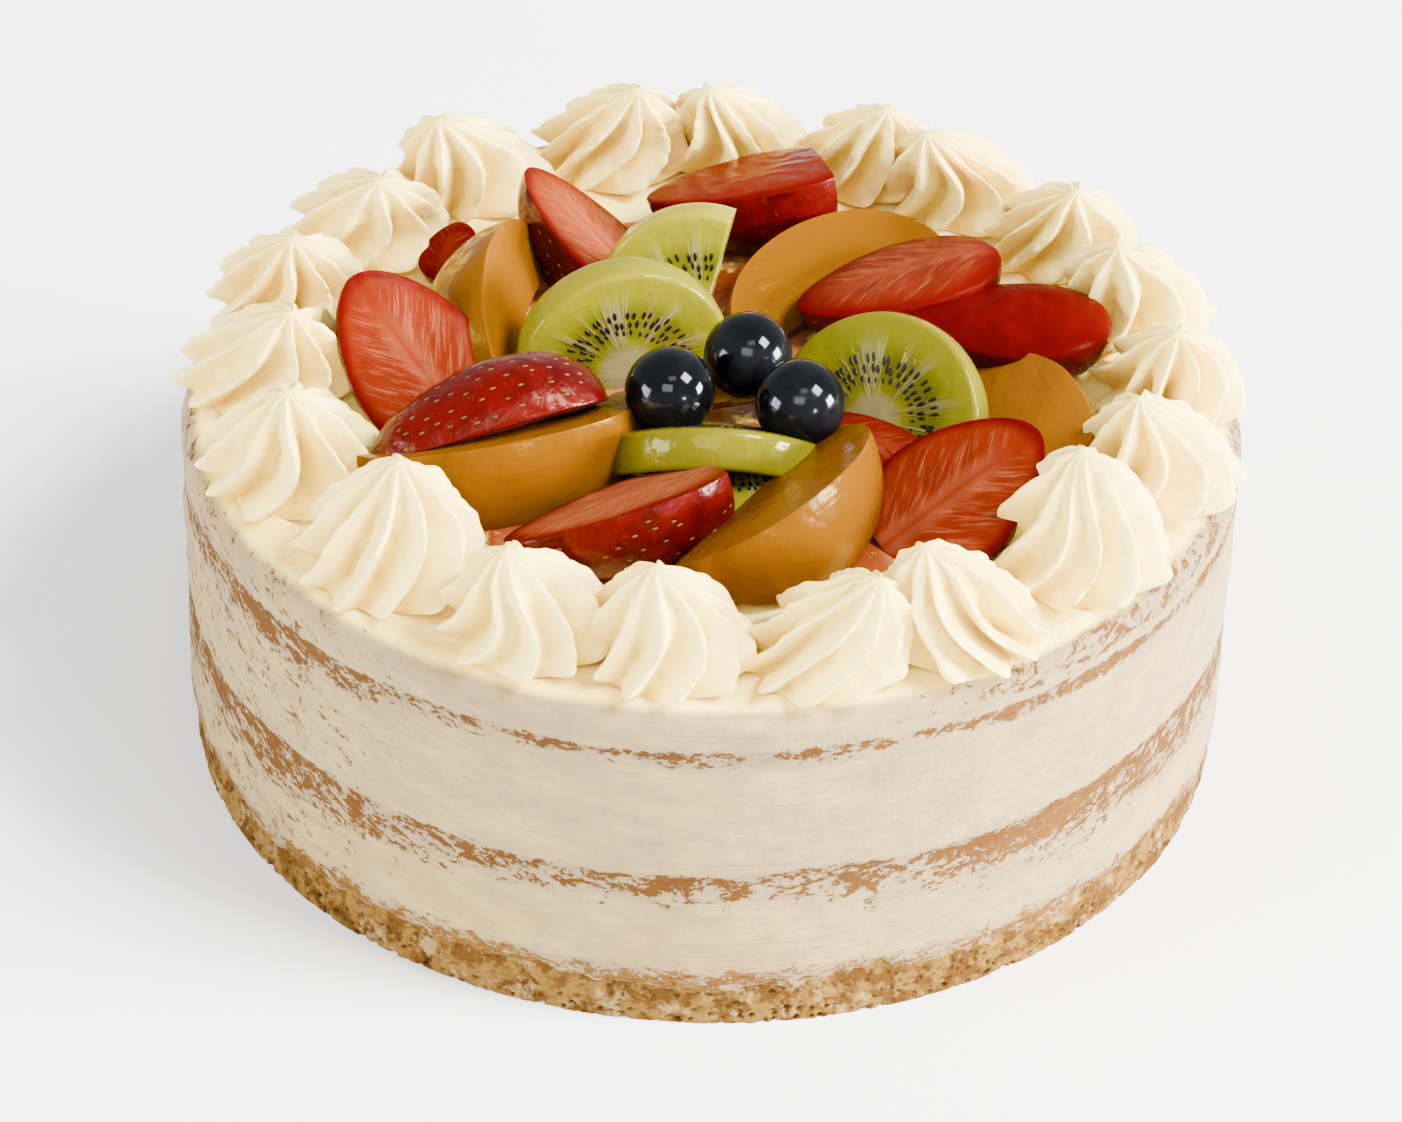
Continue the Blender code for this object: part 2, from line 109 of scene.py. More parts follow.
# Rings of kiwi seeds: share of the radius, degrees from seed to seed, and turn in degrees
KIWI_SEED_RINGS = ((0.37, 11.0, 0.0), (0.47, 8.5, 4.0), (0.57, 8.0, 1.0))
PEACH_TIP = 0.0018
PEACH_STEPS = 18
PEACH_EDGE_ROUND = 0.0013
PEACH_SWELL = 0.00022
PEACH_OUTLINE = 64
STRAWBERRY_SHOULDER = 0.24
STRAWBERRY_EDGE_ROUND = 0.0008
STRAWBERRY_SKIN_WAVE = 0.0004
SEED_SPACING = 0.0040
SEED_DIMPLE_REACH = 0.0009
# Length, width and thickness of a strawberry seed
STRAWBERRY_SEED = (0.0013, 0.0009, 0.0006)
POOL_RADIUS = 0.064
POOL_DEPTH = 0.0010

# How much paler than the crumb its pale places are, for red, green and blue
PALE_CRUMB = (2.1, 2.5, 2.9)

# Stage
FLOOR_WIDTH = 8.0
SKY_COLOUR = (0.96, 0.98, 1.0)
SKY_STRENGTH = 0.85
SENSOR_WIDTH = 36.0
LENS_LENGTH = 134.19
CAMERA_PLACE = (0.0, -0.834056, 0.631740)
CAMERA_RIGHT = (0.99957537, 0.01802768, 0.02289287)
CAMERA_UP = (-0.02911054, 0.58310285, 0.81187662)
CAMERA_BACK = (0.00128736, -0.81219829, 0.58338004)
LIGHTS_AIM = (0.0, 0.0, 0.06)

# Each soft light: name, place, width, depth, power in watts, colour
LIGHTS = [
    ("key", (1.55, -0.55, 2.10), 0.90, 0.90, 300.0, (1.0, 0.97, 0.92)),
    ("window", (0.85, -1.20, 0.42), 0.13, 0.11, 8.0, (1.0, 1.0, 1.0)),
    ("overhead", (0.15, -0.70, 1.60), 0.50, 0.32, 4.0, (0.85, 0.93, 1.0)),
    ("fill", (-0.30, -2.20, 2.10), 1.40, 0.90, 50.0, (1.0, 0.99, 0.97)),
    ("side", (2.30, -0.25, 0.62), 0.80, 0.60, 400.0, (1.0, 0.98, 0.95)),
    ("left", (-2.20, -0.90, 0.70), 1.00, 0.80, 110.0, (0.97, 0.98, 1.0)),
]

# Each rosette: centre x, y, radius, height, lean of the tip x, y (millimetres), twist in degrees
ROSETTES = [
    (-86.5, 0.0, 17.0, 24.0, 7.0, -11.0, 28),
    (-78.0, -32.0, 17.5, 24.0, 0.0, -6.0, 24),
    (-58.0, -60.5, 17.5, 24.5, 2.0, 1.0, 30),
    (-31.5, -79.0, 16.0, 23.0, -4.0, -5.5, 22),
    (-6.5, -85.0, 15.5, 22.5, -2.5, -2.0, 26),
    (20.0, -84.5, 15.5, 21.5, 10.5, -3.0, 34),
    (46.5, -76.0, 15.5, 22.0, -8.0, -2.0, -26),
    (68.0, -53.0, 16.5, 24.0, 0.0, 4.5, 24),
    (84.5, -25.5, 15.5, 23.5, -5.5, -5.0, 28),
    (87.0, 3.0, 15.0, 23.0, 0.5, -11.0, 30),
    (82.5, 31.0, 15.5, 23.0, -5.0, -9.0, 26),
    (68.5, 55.0, 15.0, 22.5, 2.0, -12.0, 24),
    (50.0, 73.0, 15.5, 22.5, -8.5, -10.0, 26),
    (28.5, 83.0, 15.0, 22.0, 5.0, -10.5, 28),
    (4.0, 87.0, 15.5, 22.5, -6.5, -8.5, 24),
    (-23.0, 85.5, 16.0, 23.0, 6.5, -9.5, 26),
    (-50.0, 73.5, 16.0, 22.5, -6.0, -10.5, 28),
    (-70.5, 53.0, 16.5, 21.0, 4.0, -11.0, 20),
    (-83.5, 27.0, 16.0, 23.0, 2.0, -10.5, 26),
]

# Each half strawberry: name, middle of its cut face (millimetres), direction of its tip,
# direction its cut face looks, length, width and depth (millimetres), the share of its half
# length at which the stem end is cut off flat, four shares from 0 to 1 (how pale its flesh is,
# how deep red its flesh is, how clear the fibres are, how many of its seeds show), and how far
# its cut face is domed (millimetres)
STRAWBERRIES = [
    ("strawberry_01", (-57.5, -5.5, 82.5), (-0.60, 0.27, 0.75), (0.36, -0.72, 0.58),
     38, 27, 12, 1.0, (0.05, 0.0, 0.8, 1.0), 0.8),
    ("strawberry_02", (-41.5, -31.5, 83.0), (-0.94, -0.30, -0.16), (0.05, -0.62, -0.80),
     47, 25, 13, 1.0, (0.0, 0.6, 0.3, 1.0), 0.5),
    ("strawberry_03", (-25.0, 42.5, 81.5), (-0.70, 0.52, 0.48), (0.62, 0.05, 0.78),
     36, 29, 13, 0.9, (0.28, 0.0, 0.8, 1.0), 0.6),
    ("strawberry_04", (6.0, 57.0, 86.0), (-0.95, -0.25, -0.12), (0.05, 0.28, 0.95),
     42, 27, 16, 0.72, (0.05, 0.15, 0.0, 0.0), 1.4),
    ("strawberry_05", (35.5, 26.0, 82.8), (-0.90, -0.35, -0.12), (0.05, 0.10, 0.98),
     42, 24, 14, 1.0, (0.12, 0.75, 0.5, 0.6), 2.6),
    ("strawberry_06", (56.5, 13.0, 82.2), (-0.98, 0.12, -0.05), (-0.02, -0.10, 0.99),
     40, 23, 12, 1.0, (0.0, 1.0, 0.0, 0.0), 3.2),
    ("strawberry_07", (45.5, -43.5, 81.0), (0.74, 0.32, 0.50), (-0.45, -0.56, 0.68),
     38, 28, 13, 0.9, (0.05, 0.0, 0.8, 1.0), 0.8),
    ("strawberry_08", (-16.5, -51.0, 82.5), (-0.88, -0.42, -0.14), (0.02, 0.47, 0.88),
     46, 28, 15, 0.8, (0.60, 0.0, 0.6, 0.6), 0.5),
    ("strawberry_09", (29.0, -24.0, 78.0), (0.90, -0.30, 0.0), (0.0, -0.10, 0.99),
     26, 16, 7, 1.0, (0.0, 0.6, 0.4, 0.5), 1.0),
    ("strawberry_10", (-52.5, 40.0, 77.5), (0.20, 0.80, 0.30), (-0.20, -0.40, 0.90),
     15, 12, 7, 1.0, (0.0, 1.0, 0.2, 0.5), 1.8),
]

# Each peach slice: name, middle of its pit side, direction from tip to tip, direction its skin
# looks, length, depth from pit side to skin, both in millimetres, the angle of the wedge, the
# share of the depth that the pit has left hollow, and the share of its flesh colour that it
# keeps, from 0 to 1, which is painted light and shade for that slice
PEACHES = [
    ("peach_01", (-34.5, 18.0, 72.0), (0.15, 0.98, 0.03), (-0.72, 0.10, 0.66), 46, 23, 48, 0.24, 0.66),
    ("peach_02", (-42.0, -21.0, 79.3), (0.91, 0.41, 0.0), (0.37, -0.88, 0.02), 58, 26, 46, 0.24, 0.62),
    ("peach_03", (29.5, 27.0, 72.0), (0.76, 0.65, 0.0), (-0.62, 0.70, 0.28), 56, 24, 34, 0.24, 0.6),
    ("peach_04", (51.0, -18.5, 72.0), (-0.32, 0.95, 0.0), (0.92, 0.31, 0.30), 48, 23, 36, 0.24, 1.0),
    ("peach_05", (6.5, -45.0, 79.6), (0.54, 0.84, 0.04), (0.81, -0.55, 0.14), 51, 24, 50, 0.06, 0.56),
    ("peach_06", (4.0, -6.0, 73.0), (0.90, 0.30, 0.0), (0.0, -0.30, 0.95), 26, 12, 60, 0.24, 0.6),
]

# Each half kiwi slice: name, its core, direction the face looks, direction from the core to the
# middle of the arc, how far the slice goes past the core, how far its ends sag (millimetres), and
# the share of its flesh colour that it keeps, from 0 to 1, which is painted light and shade for
# that slice
KIWIS = [
    ("kiwi_01", (-2.5, 23.5, 76.5), (-0.16, -0.96, 0.22), (-0.97, 0.12, 0.20), 1.0, 0.0, 0.84),
    ("kiwi_02", (-17.6, 5.5, 76.0), (0.26, -0.96, 0.05), (-0.05, 0.05, 0.99), 4.5, 0.0, 0.50),
    ("kiwi_03", (31.8, -14.0, 76.2), (-0.36, -0.70, 0.62), (0.10, 0.62, 0.78), 6.0, 0.0, 0.36),
    ("kiwi_04", (1.0, -24.5, 77.6), (0.02, 0.515, 0.857), (0.02, -0.857, 0.515), 1.5, 3.4, 0.34),
    ("kiwi_05", (6.0, -30.0, 75.0), (0.0, 0.05, 0.99), (0.10, -0.99, 0.0), 3.0, 0.0, 0.45),
]

# Each berry: name, centre (millimetres)
BERRIES = [
    ("blueberry_01", (-8.0, -24.0, 88.6)),
    ("blueberry_02", (6.5, -8.5, 86.8)),
    ("blueberry_03", (16.4, -24.8, 87.2)),
]


class CakeSizes(bpy.types.PropertyGroup):
    """Sizes that a user would change."""

    ridge_depth: FloatProperty(
        name="Ridge depth", description="How deep the valleys of a rosette are, as a share of its radius",
        default=0.42, min=0.0, max=0.6, subtype="FACTOR")
    ridge_lean: FloatProperty(
        name="Ridge lean", description="How far the crests of a rosette lean over",
        default=math.radians(4.5), subtype="ANGLE")
    coat_relief: FloatProperty(
        name="Coat relief", description="Height of the uneven places in the scraped coat",
        default=0.00050, unit="LENGTH")
    pore_depth: FloatProperty(
        name="Pore depth", description="Depth of the open pores in the bare foot",
        default=0.0015, unit="LENGTH")
    seed_dimple: FloatProperty(
        name="Seed dimple", description="Depth of the dimple round a strawberry seed",
        default=0.00014, unit="LENGTH")
    kiwi_seed: FloatProperty(
        name="Kiwi seed", description="Length of a kiwi seed", default=0.0020, unit="LENGTH")


def colour_setting(name, description, value):
    """Property for a colour in linear values."""
    return FloatVectorProperty(name=name, description=description, default=value, size=3,
                               min=0.0, max=1.0, subtype="COLOR")


class CakeColours(bpy.types.PropertyGroup):
    """Colours that a user would change."""

    cream: colour_setting("Cream", "Whipped cream in the light", (0.94, 0.745, 0.215))
    # Shaded cream: painted shade, the colour of the cream in the rosettes' folds; the filling and the
    # glaze also mix it in as a darker cream tone
    shaded_cream: colour_setting("Crease", "Whipped cream in its folds", (0.76, 0.55, 0.07))
    # Coat, warm coat and cool coat: the thin scraped cream's greyer tone together with painted shade, as
    # the side is coloured much darker than the cream on top
    coat: colour_setting("Coat", "Cream of the scraped coat", (0.3, 0.219, 0.104))
    coat_warm: colour_setting("Warm coat", "Coat where the sponge warms it", (0.305, 0.212, 0.08))
    coat_cool: colour_setting("Cool coat", "Coat where it is thinnest", (0.222, 0.163, 0.095))
    crust: colour_setting("Crust", "Brown crust that the scraper laid bare", (0.082, 0.032, 0.006))
    crumb: colour_setting("Crumb", "Open crumb of the foot", (0.078, 0.0345, 0.006))
    # Pore: painted shade, the dark colour put in the crumb's open pores
    pore: colour_setting("Pore", "Deep pores of the crumb", (0.03, 0.009, 0.003))
    berry_red: colour_setting("Strawberry skin", "Skin of the strawberries", (0.06, 0.0007, 0.0005))
    berry_dark: colour_setting("Dark skin", "Darker patches of the skin", (0.032, 0.0005, 0.0005))
    flesh: colour_setting("Strawberry flesh", "Cut face of a strawberry", (0.1, 0.007, 0.001))
    flesh_pale: colour_setting("Pale flesh", "Fibres and heart of a strawberry", (0.22, 0.058, 0.021))
    seed: colour_setting("Strawberry seed", "Seeds of the strawberries", (0.11, 0.05, 0.005))
    peach: colour_setting("Peach", "Flesh of the peaches", (0.172, 0.06, 5e-05))
    peach_deep: colour_setting("Deep peach", "Darker peach flesh", (0.156, 0.05, 5e-05))
    kiwi: colour_setting("Kiwi", "Green flesh of the kiwi", (0.27, 0.25, 0.002))
    kiwi_edge: colour_setting("Kiwi edge", "Pale flesh at the edge of the kiwi", (0.3, 0.255, 0.005))
    kiwi_core: colour_setting("Kiwi core", "Core of the kiwi", (0.38, 0.3, 0.12))
    kiwi_seed: colour_setting("Kiwi seed", "Seeds of the kiwi", (0.006, 0.004, 0.003))
    blueberry: colour_setting("Blueberry", "Skin of the berries", (0.001, 0.001, 0.0016))
    juice: colour_setting("Juice", "Juice that has run into the cream", (0.48, 0.15, 0.05))
    glaze: colour_setting("Glaze", "Glaze that has run between the fruit", (0.14, 0.026, 0.004))


def start_shape():
    """Deselect everything, so that the next operator acts on its own piece."""
    if bpy.context.mode != "OBJECT":
        bpy.ops.object.mode_set(mode="OBJECT")
    bpy.ops.object.select_all(action="DESELECT")


def select_only(piece):
    """Select one piece alone and make it the active one."""
    start_shape()
    piece.select_set(True)
    bpy.context.view_layer.objects.active = piece


def take_piece(name):
    """Name the piece that an operator has just added."""
    piece = bpy.context.active_object
    piece.name = name
    piece.data.name = name
    return piece


def points_of(piece):
    """Places of a piece's vertices, one row each."""
    points = np.empty(len(piece.data.vertices) * 3, dtype=np.float32)
    piece.data.vertices.foreach_get("co", points)
    return points.reshape(-1, 3).astype(float)


def move_points(piece, points):
    """Put a piece's vertices in new places."""
    piece.data.vertices.foreach_set("co", np.asarray(points, dtype=np.float32).ravel())
    piece.data.update()


def keep_pattern(piece, name, values):
    """Keep a number or a vector for each vertex, which the material reads by its name."""
    values = np.asarray(values, dtype=np.float32)
    vector = values.ndim == 2
    kind = "FLOAT_VECTOR" if vector else "FLOAT"
    layer = piece.data.attributes.new(name, kind, "POINT")
    layer.data.foreach_set("vector" if vector else "value", values.ravel())


def ripple(points, size, seed=0.0):
    """Smooth noise between -1 and 1 at each point, for waves of a given size in metres."""
    shift = Vector((seed, 1.7 * seed, -2.3 * seed))
    return np.array([noise.noise(Vector(point) / size + shift) for point in points])


def apply_modifiers(piece):
    """Apply a piece's modifiers in order."""
    select_only(piece)
    for modifier in list(piece.modifiers):
        bpy.ops.object.modifier_apply(modifier=modifier.name)


def face_outwards(piece):
    """Merge doubles and turn a closed piece's faces outwards."""
    select_only(piece)
    bpy.ops.object.mode_set(mode="EDIT")
    bpy.ops.mesh.select_all(action="SELECT")
    bpy.ops.mesh.remove_doubles(threshold=0.000001)
    bpy.ops.mesh.normals_make_consistent(inside=False)
    bpy.ops.object.mode_set(mode="OBJECT")


def cut_off(piece, point, normal):
    """Cut off what lies beyond a plane and close the cut."""
    select_only(piece)
    bpy.ops.object.mode_set(mode="EDIT")
    bpy.ops.mesh.select_all(action="SELECT")
    bpy.ops.mesh.bisect(plane_co=point, plane_no=normal, use_fill=True, clear_outer=True)
    bpy.ops.object.mode_set(mode="OBJECT")


def round_edges(piece, width, segments, angle):
    """Round the edges that are sharper than an angle."""
    bevel = piece.modifiers.new("round", "BEVEL")
    bevel.width = width
    bevel.segments = segments
    bevel.limit_method = "ANGLE"
    bevel.angle_limit = math.radians(angle)
    apply_modifiers(piece)


def shade_smooth(piece, angle=60):
    """Shade a piece smooth, with edges sharper than an angle left sharp."""
    select_only(piece)
    bpy.ops.object.shade_smooth_by_angle(angle=math.radians(angle))


def turn_outline(name, outline, steps):
    """Turn an outline of (radius, height), given from the top down its outer side, about Z."""
    start_shape()
    bpy.ops.mesh.primitive_circle_add(vertices=len(outline), radius=1.0)
    piece = take_piece(name)
    move_points(piece, [(radius, 0.0, height) for radius, height in outline])
    bpy.ops.object.mode_set(mode="EDIT")
    bpy.ops.mesh.select_all(action="DESELECT")
    bpy.ops.object.mode_set(mode="OBJECT")
    closing = [edge for edge in piece.data.edges
               if set(edge.vertices) == {0, len(outline) - 1}]
    closing[0].select = True
    bpy.ops.object.mode_set(mode="EDIT")
    bpy.ops.mesh.select_mode(type="EDGE")
    bpy.ops.mesh.delete(type="EDGE")
    bpy.ops.mesh.select_mode(type="VERT")
    bpy.ops.object.mode_set(mode="OBJECT")
    screw = piece.modifiers.new("turn", "SCREW")
    screw.axis = "Z"
    screw.steps = steps
    screw.render_steps = steps
    screw.use_merge_vertices = True
    screw.merge_threshold = 0.00001
    apply_modifiers(piece)
    face_outwards(piece)
    return piece


def pose_matrix(middle, along, facing):
    """Matrix that turns a shape's Z along one direction and its Y to another, at a place."""
    z_axis = Vector(along).normalized()
    y_axis = Vector(facing)
    y_axis = (y_axis - z_axis * y_axis.dot(z_axis)).normalized()
    x_axis = y_axis.cross(z_axis)
    turn = Matrix((x_axis, y_axis, z_axis)).transposed().to_4x4()
    return Matrix.Translation(Vector(middle) * MM) @ turn


def hand_over(piece, slot_name, *nodes):
    """Give a finished piece to the frame, in place of its nodes."""
    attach(piece, "root")
    if nodes:
        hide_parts(*nodes)


class Signal:
    """A socket of a material, with the sums that are used on it."""

    def __init__(self, finish, socket):
        self.finish = finish
        self.socket = socket

    def __add__(self, other):
        return self.finish.maths("ADD", self, other)

    def __radd__(self, other):
        return self.finish.maths("ADD", other, self)

    def __sub__(self, other):
        return self.finish.maths("SUBTRACT", self, other)

    def __rsub__(self, other):
        return self.finish.maths("SUBTRACT", other, self)

    def __mul__(self, other):
        return self.finish.maths("MULTIPLY", self, other)

    def __rmul__(self, other):
        return self.finish.maths("MULTIPLY", other, self)

    def __truediv__(self, other):
        return self.finish.maths("DIVIDE", self, other)

    def __pow__(self, other):
        return self.finish.maths("POWER", self, other)

    def at_most(self, other):
        return self.finish.maths("MINIMUM", self, other)

    def at_least(self, other):
        return self.finish.maths("MAXIMUM", self, other)


class Finish:
    """A material that is being made from nodes."""

    def __init__(self, name):
        self.material = bpy.data.materials.new(name)
        self.material.use_nodes = True
        self.nodes = self.material.node_tree.nodes
        self.links = self.material.node_tree.links
        self.shader = self.nodes["Principled BSDF"]

    def fill(self, socket, value):
        """Set or link one socket."""
        if isinstance(value, Signal):
            value = value.socket
        if isinstance(value, bpy.types.NodeSocket):
            self.links.new(value, socket)
        elif hasattr(socket.default_value, "__len__") and len(socket.default_value) == 4:
            socket.default_value = (*value, 1.0)
        else:
            socket.default_value = value

    def gloss(self, level):
        """Set how much the surface reflects, where 0.5 is usual."""
        self.shader.inputs["Specular IOR Level"].default_value = level

    def add(self, kind, settings, sockets):
        """Add a node, first its settings and then the values or links of its sockets."""
        node = self.nodes.new(kind)
        for name, value in settings.items():
            setattr(node, name, value)
        for name, value in sockets.items():
            self.fill(node.inputs[name], value)
        return node

    def maths(self, operation, *values):
        """Sum, product or the like of numbers."""
        sockets = dict(enumerate(values))
        return Signal(self, self.add("ShaderNodeMath", {"operation": operation}, sockets).outputs[0])

    def place(self):
        """Place on the object."""
        return self.add("ShaderNodeTexCoord", {}, {}).outputs["Object"]

    def kept(self, name, output="Fac"):
        """What was kept on the piece under a name."""
        node = self.add("ShaderNodeAttribute", {"attribute_name": name}, {})
        if output == "Vector":
            return node.outputs["Vector"]
        return Signal(self, node.outputs["Fac"])

    def parts(self, vector):
        """The three parts of a vector."""
        node = self.add("ShaderNodeSeparateXYZ", {}, {"Vector": vector})
        return [Signal(self, socket) for socket in node.outputs]

    def vector(self, x, y, z):
        """A vector from three parts."""
        return self.add("ShaderNodeCombineXYZ", {}, {"X": x, "Y": y, "Z": z}).outputs[0]

    def clouds(self, vector, scale, detail=2.0, rough=0.5, distortion=0.0):
        """Noise between 0 and 1."""
        sockets = {"Vector": vector, "Scale": scale, "Detail": detail, "Roughness": rough,
                   "Distortion": distortion}
        return Signal(self, self.add("ShaderNodeTexNoise", {}, sockets).outputs[0])

    def cells(self, vector, scale, feature="F1"):
        """Distance to the nearest of many scattered points."""
        node = self.add("ShaderNodeTexVoronoi", {"feature": feature},
                        {"Vector": vector, "Scale": scale})
        return Signal(self, node.outputs["Distance"])

    def step(self, value, low, high):
        """Smooth step from 0 at low to 1 at high, or the other way round."""
        sockets = {"Value": value, "From Min": low, "From Max": high}
        node = self.add("ShaderNodeMapRange", {"interpolation_type": "SMOOTHSTEP"}, sockets)
        return Signal(self, node.outputs["Result"])

    def blend(self, mask, first, second):
        """Mix of two colours."""
        node = self.add("ShaderNodeMix", {"data_type": "RGBA"}, {0: mask, 6: first, 7: second})
        return node.outputs[2]

    def bump(self, height, distance, strength=1.0, normal=None):
        """Bump from a height between 0 and 1."""
        sockets = {"Height": height, "Distance": distance, "Strength": strength}
        if normal is not None:
            sockets["Normal"] = normal
        return self.add("ShaderNodeBump", {}, sockets).outputs["Normal"]

    def surface(self, **sockets):
        """Set the sockets of the surface, with _ in place of a space in their names."""
        for name, value in sockets.items():
            self.fill(self.shader.inputs[name.replace("_", " ")], value)
        return self.material


def soft_body(finish, weight, radius, scale):
    """Let some light into the surface and out again."""
    finish.shader.inputs["Subsurface Weight"].default_value = weight
    finish.shader.inputs["Subsurface Radius"].default_value = radius
    finish.shader.inputs["Subsurface Scale"].default_value = scale


def cream_finish(colours):
    """Whipped cream: white crests, yellow painted shade in the folds and under the curled foot, and juice
    where it touches the fruit.
    """
    finish = Finish("whipped_cream")
    place = finish.place()
    x, y, z = finish.parts(place)
    # Painted shade: the fold pattern darkens the cream to the yellow shaded cream in the valleys and
    # under the curled foot
    fold = finish.kept("fold")
    cloud = finish.clouds(place, 90.0, 3.0, 0.55)
    fold = finish.step(fold * (0.45 + 1.2 * cloud), 0.12, 0.80)
    colour = finish.blend(fold, colours.cream, colours.shaded_cream)
    reach = finish.maths("SQRT", x * x + y * y)
    inner = finish.step(reach, 0.087, 0.071) * finish.step(z, 0.095, 0.074)
    runs = finish.step(finish.clouds(place, 55.0, 3.0, 0.6), 0.44, 0.72)
    back = finish.step(y, -0.005, 0.030)
    juice = (inner * runs * (0.10 + 0.50 * back)).at_most(0.85)
    colour = finish.blend(juice, colour, colours.juice)
    grain = finish.clouds(place, 900.0, 3.0, 0.6)
    folds = finish.clouds(place, 260.0, 2.0, 0.5)
    normal = finish.bump(folds, 0.0009, 0.50)
    normal = finish.bump(grain, 0.0002, 0.45, normal)
    soft_body(finish, 0.08, (1.0, 0.80, 0.40), 0.0012)
    finish.gloss(0.25)
    return finish.surface(Base_Color=colour, Roughness=0.40 + 0.15 * grain, Normal=normal,
                          Coat_Weight=0.12, Coat_Roughness=0.30)


def coat_finish(colours):
    """Scraped coat: drag lines, bands where the crust shows in dashes, and a clean top."""
    finish = Finish("scraped_coat")
    place = finish.place()
    x, y, z = finish.parts(place)
    reach = finish.maths("SQRT", x * x + y * y)
    side = finish.step(reach, CAKE_RADIUS - 0.0040, CAKE_RADIUS - 0.0015)
    rise = z - 0.32 * y
    dashes = finish.clouds(finish.vector(x * 210.0, y * 210.0, rise * 480.0), 1.0, 5.0, 0.70, 0.8)
    flecks = finish.clouds(finish.vector(x * 800.0, y * 800.0, rise * 1300.0), 1.0, 3.0, 0.65, 0.5)
    drag = finish.clouds(finish.vector(x * 42.0, y * 42.0, rise * 330.0), 1.0, 3.0, 0.6)
    patches = finish.clouds(finish.vector(x * 60.0, y * 60.0, rise * 110.0), 1.0, 3.0, 0.6)
    wander = (finish.clouds(place, 14.0, 2.0, 0.5) - 0.5) * 0.007
    right = finish.step(x - 0.25 * y, 0.030, 0.095)
    left = finish.step(x + 0.3 * y, -0.060, -0.105)

    # Bands where the scraper laid the crust bare, each from 0 to 1
    layer = LAYER_LINE + 0.0004 + wander - z
    layer_reach = 0.0125 + 0.0090 * right + 0.008 * left
    layer_band = finish.step(layer, -0.0012, 0.0010) * finish.step(layer / layer_reach, 1.0, 0.10)
    layer_band = layer_band * (0.80 + 0.25 * right + 0.1 * left)
    top = CAKE_HEIGHT - 0.0078 + wander * 0.7 - z
    top_band = finish.step(top, -0.0014, 0.0004) * finish.step(top, 0.0048 + 0.012 * left, 0.0002)
    top_band = top_band * (0.72 + 0.22 * right + 0.15 * left)
    rim = finish.step(z, CAKE_HEIGHT - 0.007, CAKE_HEIGHT - 0.004) * right * 0.62
    all_left = left * 0.42
    foot = finish.step(z, 0.0170, 0.0100) * 0.90
    shown = layer_band.at_least(top_band).at_least(rim).at_least(foot).at_least(all_left)

    # Bare places break the bands up into dashes, and a few specks lie outside them
    density = shown * (0.05 + 1.90 * patches) + 0.35 * (drag - 0.5)
    level = dashes * 0.62 + flecks * 0.38
    bare = finish.step(level, 0.640 - 0.215 * density, 0.675 - 0.215 * density)
    bare = bare * finish.step(shown, 0.08, 0.25) * side
    specks = finish.step(flecks, 0.705, 0.73) * side
    bare = bare.at_least(specks * 0.6)

    # Colour of the cream on the side, and then of the bare places
    warm = finish.step(z, 0.033, 0.018) * finish.step(patches, 0.35, 0.65) * 0.8 * side
    cool = finish.step(shown * (0.5 + drag), 0.25, 0.85) * 0.60 * side
    upper = finish.step(z, 0.050, 0.062) * finish.step(drag, 0.40, 0.62) * 0.40 * side
    mottle = finish.step(finish.clouds(place, 330.0, 3.0, 0.65), 0.46, 0.66) * 0.45
    colour = finish.blend(warm, colours.coat, colours.coat_warm)
    colour = finish.blend(mottle * side, colour, colours.coat_cool)
    thick = finish.clouds(finish.vector(x * 75.0, y * 75.0, rise * 190.0), 1.0, 4.0, 0.65)
    thick = finish.step(thick, 0.40, 0.70) * (1.0 - 0.6 * shown) * 0.13
    colour = finish.blend(thick * side, colour, colours.cream)
    colour = finish.blend((cool + upper).at_most(0.85), colour, colours.coat_cool)
    smear = finish.step(dashes, 0.46, 0.62) * finish.step(shown, 0.15, 0.8) * 0.75
    lighter = tuple(1.6 * part + 0.03 for part in colours.crust)
    colour = finish.blend(smear * side, colour, lighter)
    # Real tone and painted shade: the side takes the darker coat colours, the top the bright cream
    colour = finish.blend(side, colours.cream, colour)
    golden = finish.blend(finish.step(flecks, 0.42, 0.60), colours.crumb,
                          tuple(2.0 * part for part in colours.crumb))
    tanned = finish.step(z, 0.0200, 0.0150).at_least(right * finish.step(patches, 0.40, 0.60) * 0.6)
    crust = finish.blend(tanned, colours.crust, golden)
    colour = finish.blend(bare * (0.92 + 0.08 * flecks), colour, crust)
    pool = finish.step(reach, 0.069, 0.060) * (1.0 - side)
    colour = finish.blend(pool * 0.9, colour, colours.glaze)

    streaks = finish.clouds(finish.vector(x * 25.0, y * 25.0, rise * 1100.0), 1.0, 3.0, 0.6)
    normal = finish.bump(streaks, 0.0008, 0.60)
    normal = finish.bump(drag, 0.0016, 0.60, normal)
    normal = finish.bump(1.0 - bare, 0.0006, 0.55, normal)
    normal = finish.bump(finish.clouds(place, 420.0, 4.0, 0.7), 0.0007, 0.55, normal)
    soft_body(finish, 0.05, (1.0, 0.7, 0.4), 0.0010)
    finish.gloss(0.02)
    return finish.surface(Base_Color=colour, Roughness=0.50 + 0.25 * bare - 0.25 * pool,
                          Normal=normal)


